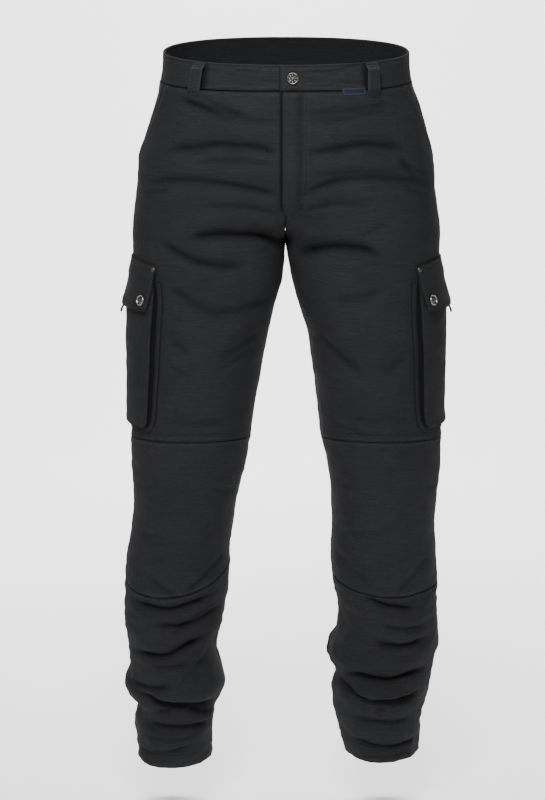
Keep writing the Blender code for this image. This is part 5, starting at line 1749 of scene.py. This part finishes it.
@dataclass
class BeltLoops:
    """Five belt loops, their edges stitched and their ends bar tacked."""

    finishes: Finishes
    places: tuple[LoopPlace, ...] = (
        LoopPlace("belt_loop_front_R", Side.RIGHT, 0.220, 0.224),
        LoopPlace("belt_loop_front_L", Side.LEFT, 0.216, 0.206),
        LoopPlace("belt_loop_side_R", Side.RIGHT, 0.640, 0.640),
        LoopPlace("belt_loop_side_L", Side.LEFT, 0.640, 0.640),
        LoopPlace("belt_loop_back", Side.LEFT, 1.0, 1.0, 0.026),
    )
    turn_width: float = 0.040
    cloth: float = 0.0016
    seat: float = 0.0009
    stand: float = 0.0083
    foot: float = 0.010
    drop: float = 0.001
    bend: float = 0.22
    length: float = 0.058
    length_area: float = 0.056

    def build_loop(self, place: LoopPlace, threads: ThreadWork, seed: float) -> None:
        """Build one loop.

        Args:
            place: Its name and place.
            threads: Where its stitches go.
            seed: Number that picks its unevenness.
        """
        form = LegForm(place.side)
        part = np.linspace(0.0, 1.0, 52)[:, None]
        centre = place.rim_turn + (place.foot_turn - place.rim_turn) * part
        top, bottom = form.rim_down(centre) + self.drop, form.band_seam_down(centre) + self.foot
        across = seam_steps(0.017, 0.0016, (False, False))[None, :]
        turns = centre + self.turn_width * (across - 0.5)
        downs = np.broadcast_to(top + (bottom - top) * part, turns.shape)
        points, normals = form.surface(turns, downs)
        facing = unit(normals.mean(axis=1, keepdims=True)) * np.ones_like(normals)
        bow = smooth_step(np.minimum(part, 1.0 - part) / self.bend)
        crown = 0.0005 * (1.0 - (2.0 * across - 1.0) ** 2)
        wave = 0.0004 * cloth_noise(part * 3.0, across, seed)
        height = self.seat + (self.stand - self.seat) * bow + self.cloth + crown * bow + wave * bow
        panel = Panel(f"canvas_{place.name}", points + facing * height[..., None], facing, self.cloth)
        panel.rubbed += 0.5 * np.exp(-(np.minimum(across, 1.0 - across) / 0.08) ** 2) * np.ones_like(part)
        for edge in (Edge.FIRST, Edge.LAST):
            threads.run(panel.line(edge, 0.0022, (0.06, 0.94)))
        for row in (4, 47):
            middle = panel.outer.shape[1] // 2
            way = panel.outer[row, -1] - panel.outer[row, 0]
            threads.bar(panel.outer[row, middle], facing[row, middle], way, 0.0125, 0.0019)
        cut = Cut(place.width, self.length, place.width * self.length_area)
        # Darker canvas on the inner face, as painted shade where the loop faces the band
        panel.build([self.finishes.canvas, self.finishes.shaded], cut, [place.name])

    def build(self) -> None:
        """Build all the loops."""
        threads = ThreadWork("stitching_loops")
        for number, place in enumerate(self.places):
            self.build_loop(place, threads, 60.0 + number)
        threads.build(self.finishes.thread)


class StudKind(Enum):
    """Faces of the turned metal parts."""

    ROSETTE = "rosette"
    SNAP = "snap"
    RIVET = "rivet"


@dataclass(frozen=True)
class Stud:
    """Round metal part: a struck face on a turned body."""

    kind: StudKind
    radius: float
    height: float
    rings: int = 22
    sides: int = 48

    def face(self, part: Array, angle: Array) -> Array:
        """Relief of the struck face.

        Args:
            part: Distance from the axis over the radius.
            angle: Angle round the axis.
        Returns:
            Heights over the body's height, at most 1.
        """
        rim = np.exp(-((part - 0.88) / 0.09) ** 2)
        if self.kind is StudKind.RIVET:
            return 0.55 + 0.40 * np.exp(-(part / 0.55) ** 2) + 0.10 * rim
        if self.kind is StudKind.SNAP:
            groove = 0.30 * np.exp(-((part - 0.66) / 0.07) ** 2)
            centre = 0.32 * np.exp(-(part / 0.42) ** 4) - 0.20 * np.exp(-(part / 0.14) ** 2)
            return 0.55 + 0.35 * rim - groove + centre
        petals = np.cos(4.0 * angle) ** 2 * np.exp(-((part - 0.50) / 0.19) ** 2)
        return 0.34 + 0.46 * rim + 0.52 * petals + 0.50 * np.exp(-(part / 0.17) ** 2)

    def build(self, name: str, point: Array, normal: Array, finish: bpy.types.Material) -> None:
        """Build the part on the cloth.

        Args:
            name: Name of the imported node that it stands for.
            point: Middle of its foot.
            normal: The way it faces.
            finish: Its metal.
        """
        parts = np.linspace(0.0, 1.0, self.rings + 1)[1:]
        angles = np.arange(self.sides) * 2.0 * math.pi / self.sides
        part, angle = np.meshgrid(parts, angles, indexing="ij")
        face = self.face(part, angle)
        edge = np.sqrt(np.clip(1.0 - np.clip((part - 0.86) / 0.14, 0.0, 1.0) ** 2, 0.0, 1.0))
        height = self.height * np.clip(face * (0.35 + 0.65 * edge), 0.05, 1.0)
        rings = [np.stack([self.radius * part[k] * np.cos(angle[k]), self.radius * part[k] * np.sin(angle[k]),
                           height[k]], -1) for k in range(self.rings)]
        for shrink, level in ((1.0, 0.10), (0.92, 0.0)):
            out = self.radius * shrink
            rings.append(np.stack([out * np.cos(angles), out * np.sin(angles),
                                   self.height * level * np.ones(self.sides)], -1))
        tip = np.array([[0.0, 0.0, float(self.height * min(1.0, self.face(np.zeros(1), np.zeros(1))[0]))]])
        local = np.concatenate([tip, *rings, np.array([[0.0, 0.0, 0.0]])])
        first = unit(np.cross(np.array([0.0, 0.0, 1.0]), normal))
        second = np.cross(normal, first)
        points = point + local[:, :1] * first + local[:, 1:2] * second + local[:, 2:] * normal
        n, count = self.sides, len(rings)
        faces = [(0, 1 + k, 1 + (k + 1) % n) for k in range(n)]
        for ring in range(count - 1):
            low, high = 1 + ring * n, 1 + (ring + 1) * n
            faces += [(low + k, high + k, high + (k + 1) % n, low + (k + 1) % n) for k in range(n)]
        last = 1 + (count - 1) * n
        faces += [(last + k, last + n, last + (k + 1) % n) for k in range(n)]
        faces = [tuple(min(corner, len(local) - 1) for corner in f) for f in faces]
        rubbed = np.clip((local[:, 2] / self.height - 0.40) / 0.45, 0.0, 1.0)
        piece = add_mesh(f"silver_{name}", points, faces, [finish], rubbed=rubbed)
        dress(piece, [name])


def cloth_facing(grid: Array, guide: Array) -> Array:
    """Normals of a grid from its own neighbours.

    Args:
        grid: Points, rows by columns.
        guide: Directions that the normals should go with.
    Returns:
        The normals.
    """
    normals = unit(np.cross(np.gradient(grid, axis=0), np.gradient(grid, axis=1)))
    return normals * np.where((normals * guide).sum() < 0.0, -1.0, 1.0)


@dataclass
class CargoPocket:
    """Bellows pocket on the outseam of one thigh, with its flap, studs and pull tab."""

    side: Side
    finishes: Finishes
    thigh_round: float = THIGH_ROUND
    cloth: float = 0.0016
    gap: float = 0.0005
    seam_gap: float = 0.0003
    half: float = 0.0845
    top: float = 0.317
    bottom: float = 0.5385
    corner: float = 0.012
    crown: float = 0.25
    gusset_inset: float = 0.0030
    gusset_spread: float = 0.0060
    gusset_clear: float = 0.0008
    gusset_cloth: float = 0.0014
    flange: float = 0.0065
    flange_shade: float = 0.7
    pleat: float = 0.0022
    flap_top: float = 0.288
    flap_bottom: float = 0.360
    flap_half_top: float = 0.090
    flap_half_bottom: float = 0.078
    flap_corner_drop: float = 0.006
    flap_clear: float = 0.0007
    flap_flare: float = 0.0030
    probe: float = 0.004
    snap_across: float = 0.0675
    snap_down: float = 0.345
    rivet_across: float = 0.084
    rivet_down: float = 0.2990
    stud_gap: float = 0.0006
    tab_length: float = 0.0130
    tab_half: float = 0.0035
    tab_swell: float = 0.0014
    tab_tip: float = 0.0022
    tab_cloth: float = 0.0034
    tab_clear: float = 0.0006
    tab_rise: float = 0.0060

    def __post_init__(self) -> None:
        """Set up the thigh's form and the stitching."""
        self.form = LegForm(self.side)
        self.threads = ThreadWork(f"topstitching_pocket_{self.side.letter}")
        self.seed = 70.0 if self.side is Side.RIGHT else 90.0

    def surface(self, ahead: Array, down: Array) -> tuple[Array, Array]:
        """Thigh's points and normals, ahead metres in front of the outseam."""
        return self.form.surface(0.5 - ahead / self.thigh_round, down)

    def face_stand(self, ahead: Array, down: Array) -> Array:
        """Height of the face's underside over the thigh."""
        knots = np.array([row.down for row in FACE_STANDS])
        middle = smooth_curve(down, knots, np.array([row.height for row in FACE_STANDS]))
        crown = self.crown * np.clip(np.abs(ahead) / self.half, 0.0, 1.2) ** 2
        return FACE_STANDS[0].height + (middle - FACE_STANDS[0].height) * (1.0 - crown)

    def face_bottom(self, ahead: Array) -> Array:
        """Lower edge of the face, with its round corners."""
        past = np.clip(np.abs(ahead) - (self.half - self.corner), 0.0, self.corner)
        return self.bottom - self.corner + np.sqrt(self.corner ** 2 - past ** 2)

    def raised(self, name: str, ahead: Array, down: Array, stand: Array, cloth: float) -> Panel:
        """Panel whose underside stands this high over the thigh."""
        ahead, down = np.broadcast_arrays(ahead, down)
        points, normals = self.surface(ahead, down)
        outer = points + normals * (stand + cloth)[..., None]
        panel = Panel(f"{name}_{self.side.letter}", outer, normals, cloth)
        panel.flat = np.stack([ahead, -down], axis=-1)
        return panel

    def build_face(self) -> None:
        """Outer face of the pocket with its stitched edges."""
        ahead = (2.0 * seam_steps(2.0 * self.half, 0.0027) - 1.0) * (self.half - 0.0001)
        part = seam_steps(self.bottom - self.top, 0.0030)[:, None]
        down = self.top + (self.face_bottom(ahead) - self.top)[None, :] * part
        ahead = np.broadcast_to(ahead, down.shape)
        inside = np.clip((self.half - np.abs(ahead)) / 0.020, 0.0, 1.0) * np.sin(math.pi * part) ** 0.5
        soft = 0.0012 * cloth_noise(ahead / 0.060, down / 0.075, self.seed)
        ridges = np.abs(cloth_noise((ahead + 0.4 * down) / 0.045, down / 0.030, self.seed + 1.0))
        creased = 0.0007 * (1.0 - 2.0 * ridges)
        stand = self.face_stand(ahead, down) + np.clip(soft + creased, -0.0004, 0.002) * inside
        panel = self.raised("pocket_face", ahead, down, stand, self.cloth)
        for number, edge in enumerate((Edge.FIRST, Edge.LAST, Edge.BOTTOM)):
            panel.press(edge, POCKET_STITCHED, self.seed + 2.0 + number)
            span = (0.10, 0.90) if edge is Edge.BOTTOM else (0.03, 0.97)
            for line in POCKET_STITCHED.stitch_lines:
                self.threads.run(panel.line(edge, line, span))
        panel.build(self.finishes.cloth, Cut(0.180, 0.232, 0.0400),
                    [f"cargo_pocket_face_{self.side.letter}"])

    def gusset_path(self, grow: float) -> Array:
        """Stations round the pocket, grown outwards.

        Args:
            grow: Distance outside the gusset's own line.
        Returns:
            Ahead and down of each station.
        """
        half, bottom = self.half - self.gusset_inset, self.bottom - self.gusset_inset
        inside, straight, reach = half - self.corner, bottom - self.corner, self.corner + grow
        stations = [(half + grow, down) for down in np.linspace(self.top + 0.002, straight, 56)]
        stations += [(inside + reach * math.cos(a), straight + reach * math.sin(a))
                     for a in np.linspace(0.0, math.pi / 2.0, 15)[1:]]
        mirrored = [(-ahead, down) for ahead, down in stations[::-1]]
        run = np.linspace(inside, -inside, 34)[1:-1]
        return np.array(stations + [(ahead, bottom + grow) for ahead in run] + mirrored)

    def build_gusset(self) -> None:
        """Bellows strip: flange sewn flat, then a wall folded in on itself under the face."""
        profile = [(self.gusset_spread + self.flange * (1.0 - part), 0.0)
                   for part in np.linspace(0.0, 1.0, 7)]
        profile += [(self.gusset_spread * (1.0 - part) - self.pleat * math.sin(math.pi * part) - 0.0004, part)
                    for part in np.linspace(0.0, 1.0, 12)[1:]]
        rows, guides = [], []
        for grow, part in profile:
            ahead, down = self.gusset_path(grow).T
            points, normals = self.surface(ahead, down)
            low, high = self.gap + self.cloth, self.face_stand(ahead, down) - self.gusset_clear - 0.0008
            along = np.arange(len(ahead)) * 0.0036
            wave = 0.0005 * cloth_noise(along / 0.016, part * 2.0, self.seed + 6.0) * math.sin(math.pi * part)
            rows.append(points + normals * (low + (high - low) * part + wave)[:, None])
            guides.append(normals)
        grid = np.array(rows)
        facing = cloth_facing(grid, np.array(guides))
        panel = Panel(f"pocket_bellows_{self.side.letter}", grid, facing, self.gusset_cloth)
        # Painted shade on the wall folded in under the face, and on the flange's outer row
        panel.hollow += np.array([float(part > 0.0) for _, part in profile])[:, None]
        panel.hollow[0] = self.flange_shade
        self.threads.run(panel.line(Edge.TOP, 0.0022, (0.02, 0.98)))
        panel.build(self.finishes.cloth, Cut(0.57, 0.022, 0.0110),
                    [f"cargo_gusset_{self.side.letter}"])

    def flap_edge(self, ahead: Array) -> Array:
        """Level of the flap's sewn edge, lower towards its corners."""
        return self.flap_top + self.flap_corner_drop * (ahead / self.flap_half_top) ** 2

    def flap_stand(self, ahead: Array, down: Array) -> Array:
        """Height of the flap's underside over the thigh."""
        over_face = self.face_stand(ahead, np.maximum(down, self.top)) + self.cloth + self.flap_clear
        top = self.flap_edge(ahead)
        part = smooth_step((down - top) / (self.top - top - 0.002))
        flare = self.flap_flare * smooth_step((down - self.top) / (self.flap_bottom - self.top))
        return self.gap + (over_face - self.gap) * part + flare

    def build_flap(self) -> None:
        """Flap with double stitched edges, a little lifted between its studs."""
        part = seam_steps(self.flap_bottom - self.flap_top, 0.0024)[:, None]
        half = self.flap_half_top + (self.flap_half_bottom - self.flap_half_top) * part
        across = 2.0 * seam_steps(2.0 * self.flap_half_top, 0.0027)[None, :] - 1.0
        ahead = half * across
        down = self.flap_edge(ahead) + (self.flap_bottom - self.flap_edge(ahead)) * part
        low = smooth_step((part - 0.45) / 0.55)
        lift = 0.0012 * np.exp(-(ahead / 0.024) ** 2) * low + 0.0010 * np.abs(across) ** 6 * low
        waves = 1.0 + cloth_noise(ahead / 0.040, down / 0.030, self.seed + 10.0)
        soft = 0.0007 * waves * np.sin(math.pi * part)
        stand = self.flap_stand(ahead, down) + lift + soft
        panel = self.raised("pocket_flap", ahead, down, stand, self.cloth)
        for number, edge in enumerate(Edge):
            panel.press(edge, POCKET_STITCHED, self.seed + 11.0 + number)
            for line in POCKET_STITCHED.stitch_lines:
                self.threads.run(panel.line(edge, line, (0.04, 0.96)))
        panel.build(self.finishes.cloth, Cut(0.186, 0.080, 0.0140),
                    [f"cargo_flap_{self.side.letter}"])

    def spot(self, ahead: float, down: float) -> tuple[Array, Array]:
        """Point on the flap's outer face and the way the flap faces there."""
        aheads = ahead + self.probe * np.array([-1.0, 1.0, 0.0, 0.0, 0.0])
        downs = down + self.probe * np.array([0.0, 0.0, -1.0, 1.0, 0.0])
        point, normal = self.surface(aheads, downs)
        on_flap = point + normal * (self.flap_stand(aheads, downs) + self.cloth)[:, None]
        facing = np.cross(on_flap[1] - on_flap[0], on_flap[3] - on_flap[2])
        facing = facing * np.sign(facing @ normal[-1])
        return on_flap[-1], unit(facing)

    def build_studs(self) -> None:
        """Snaps and rivets, front and rear."""
        snap, rivet = Stud(StudKind.SNAP, 0.0080, 0.0030), Stud(StudKind.RIVET, 0.0040, 0.0018, 12, 24)
        for place, way in (("front", 1.0), ("rear", -1.0)):
            for label, stud, ahead, down in (("flap_snap", snap, self.snap_across, self.snap_down),
                                             ("flap_rivet", rivet, self.rivet_across, self.rivet_down)):
                point, normal = self.spot(way * ahead, down)
                stud.build(f"{label}_{place}_{self.side.letter}", point + normal * self.stud_gap, normal,
                           self.finishes.silver)

    def build_tab(self) -> None:
        """Moulded pull tab at the middle of the flap's lower edge, with a grooved face."""
        part = np.linspace(0.0, 1.0, 26)[:, None]
        across = np.linspace(-1.0, 1.0, 15)[None, :]
        swell = self.tab_swell * np.sin(math.pi * part * 0.8) - self.tab_tip * smooth_step(part * 4.0 - 3.0)
        ahead = (self.tab_half + swell) * across
        down = np.broadcast_to(self.flap_bottom + self.seam_gap + self.tab_length * part, ahead.shape)
        stand = self.face_stand(ahead, down) + self.cloth + self.tab_clear \
            + self.tab_rise * np.sin(math.pi * part * 0.5)
        dish = 0.0006 * np.exp(-((part - 0.55) / 0.22) ** 2 - (across / 0.45) ** 2)
        round_off = 0.0005 * np.abs(across) ** 4
        panel = self.raised("moulded_tab", ahead, down, stand - dish - round_off, self.tab_cloth - 0.0004)
        panel.build([self.finishes.moulded, self.finishes.moulded], None,
                    [f"pull_tab_{self.side.letter}"], "tab")

    def build(self) -> None:
        """Build the pocket."""
        self.build_gusset()
        self.build_face()
        self.build_flap()
        self.build_studs()
        self.build_tab()
        self.threads.build(self.finishes.thread)


@dataclass
class WaistButton:
    """Rosette button on the lapped end of the band."""

    finishes: Finishes
    turn: float = 0.0100
    down: float = 0.0195
    radius: float = 0.0088
    height: float = 0.0034
    stand: float = 0.0012

    def build(self) -> None:
        """Build the button."""
        point, normal = LegForm(Side.LEFT).surface(np.array(self.turn), np.array(self.down))
        stud = Stud(StudKind.ROSETTE, self.radius, self.height, 30, 96)
        stud.build("waist_button", point + normal * self.stand, normal, self.finishes.silver)


class SoftBox(NamedTuple):
    """Area light: where it stands, what it points at, its width and height, and its watts."""

    name: str
    place: tuple[float, float, float]
    target: tuple[float, float, float]
    size: tuple[float, float]
    power: float


@dataclass
class Studio:
    """Pale floor that sweeps up behind, soft lights and the camera."""

    finishes: Finishes
    floor_down: float = 1.16
    bend_start: float = 2.2
    bend_radius: float = 1.2
    wall_height: float = 4.5
    half_width: float = 2.6
    front_reach: float = -6.0
    camera_place: tuple[float, float, float] = (-0.019, -3.2, 0.15)
    camera_pitch: float = 11.5
    camera_lens: float = 97.0
    camera_shift: float = -0.00625
    surround: tuple[float, float, float, float] = (-1.0, -0.35, 0.26, 0.02)
    boxes: tuple[SoftBox, ...] = (
        SoftBox("key_box", (-0.20, -1.55, 1.05), (0.0, 0.0, -0.12), (0.8, 0.5), 52.0),
        SoftBox("fill_box", (0.5, -3.0, -0.1), (0.0, 0.0, -0.80), (0.8, 1.0), 4.0),
        SoftBox("wall_box", (0.0, 1.3, 2.2), (0.0, 3.3, -0.5), (2.2, 0.8), 330.0),
    )

    def build_floor(self) -> None:
        """Sweep of floor and backdrop in one sheet."""
        angles = np.linspace(0.0, math.pi / 2.0, 17)
        bend = [(self.bend_start + self.bend_radius * math.sin(a), self.bend_radius * (1.0 - math.cos(a)))
                for a in angles]
        side = [(self.front_reach, 0.0), *bend, (self.bend_start + self.bend_radius, self.wall_height)]
        points = [(x, y, z - self.floor_down) for y, z in side for x in (-self.half_width, self.half_width)]
        faces = [(2 * k, 2 * k + 1, 2 * k + 3, 2 * k + 2) for k in range(len(side) - 1)]
        mesh = bpy.data.meshes.new("studio_floor")
        mesh.from_pydata(points, [], faces)
        mesh.materials.append(self.finishes.floor)
        mesh.shade_smooth()
        floor = bpy.data.objects.new("studio_floor", mesh)
        bpy.context.scene.collection.objects.link(floor)

    def add_light(self, box: SoftBox) -> None:
        """Add a soft box."""
        light = bpy.data.lights.new(box.name, "AREA")
        light.shape, light.size, light.size_y, light.energy = "RECTANGLE", *box.size, box.power
        lamp = bpy.data.objects.new(box.name, light)
        bpy.context.scene.collection.objects.link(lamp)
        back = unit(np.subtract(box.place, box.target))
        aside = unit(np.cross((0.0, 0.0, 1.0), back))
        matrix = np.eye(4)
        matrix[:3] = np.stack([aside, np.cross(back, aside), back, box.place], axis=1)
        lamp.matrix_world = Matrix([list(map(float, row)) for row in matrix])

    def build_lights(self) -> None:
        """Soft boxes in front and on the wall, and a surround that is brighter in front."""
        for box in self.boxes:
            self.add_light(box)
        world = bpy.data.worlds.new("surround")
        world.use_nodes = True
        nodes, links = world.node_tree.nodes, world.node_tree.links
        kinds = ("TexCoord", "SeparateXYZ", "MapRange")
        way, split, ramp = (nodes.new(f"ShaderNode{kind}") for kind in kinds)
        for name, value in zip(("From Min", "From Max", "To Min", "To Max"), self.surround):
            ramp.inputs[name].default_value = value
        links.new(way.outputs["Generated"], split.inputs[0])
        links.new(split.outputs["Y"], ramp.inputs["Value"])
        links.new(ramp.outputs[0], nodes["Background"].inputs["Strength"])
        nodes["Background"].inputs["Color"].default_value = (1.0, 1.0, 1.0, 1.0)
        bpy.context.scene.world = world

    def build_camera(self) -> None:
        """Camera level across, pitched down a little, as the photograph was taken."""
        camera = bpy.data.cameras.new("camera")
        camera.lens, camera.sensor_width, camera.shift_y = self.camera_lens, 36.0, self.camera_shift
        stand = bpy.data.objects.new("camera", camera)
        stand.location = self.camera_place
        stand.rotation_euler = (math.radians(90.0 - self.camera_pitch), 0.0, 0.0)
        bpy.context.scene.collection.objects.link(stand)
        bpy.context.scene.camera = stand

    def build(self) -> None:
        """Build the studio."""
        self.build_floor()
        self.build_lights()
        self.build_camera()


def main() -> None:
    """Build every sub-assembly in order."""
    logging.basicConfig(level=logging.INFO, format="%(message)s")
    finishes = Finishes()
    assemblies = [LegCloth(side, finishes) for side in Side]
    assemblies += [Waist(finishes), BeltLoops(finishes), WaistButton(finishes)]
    assemblies += [CargoPocket(side, finishes) for side in Side]
    assemblies.append(Studio(finishes))
    for assembly in assemblies:
        assembly.build()
        log.info("built %s", type(assembly).__name__)


if __name__ == "__main__":
    main()
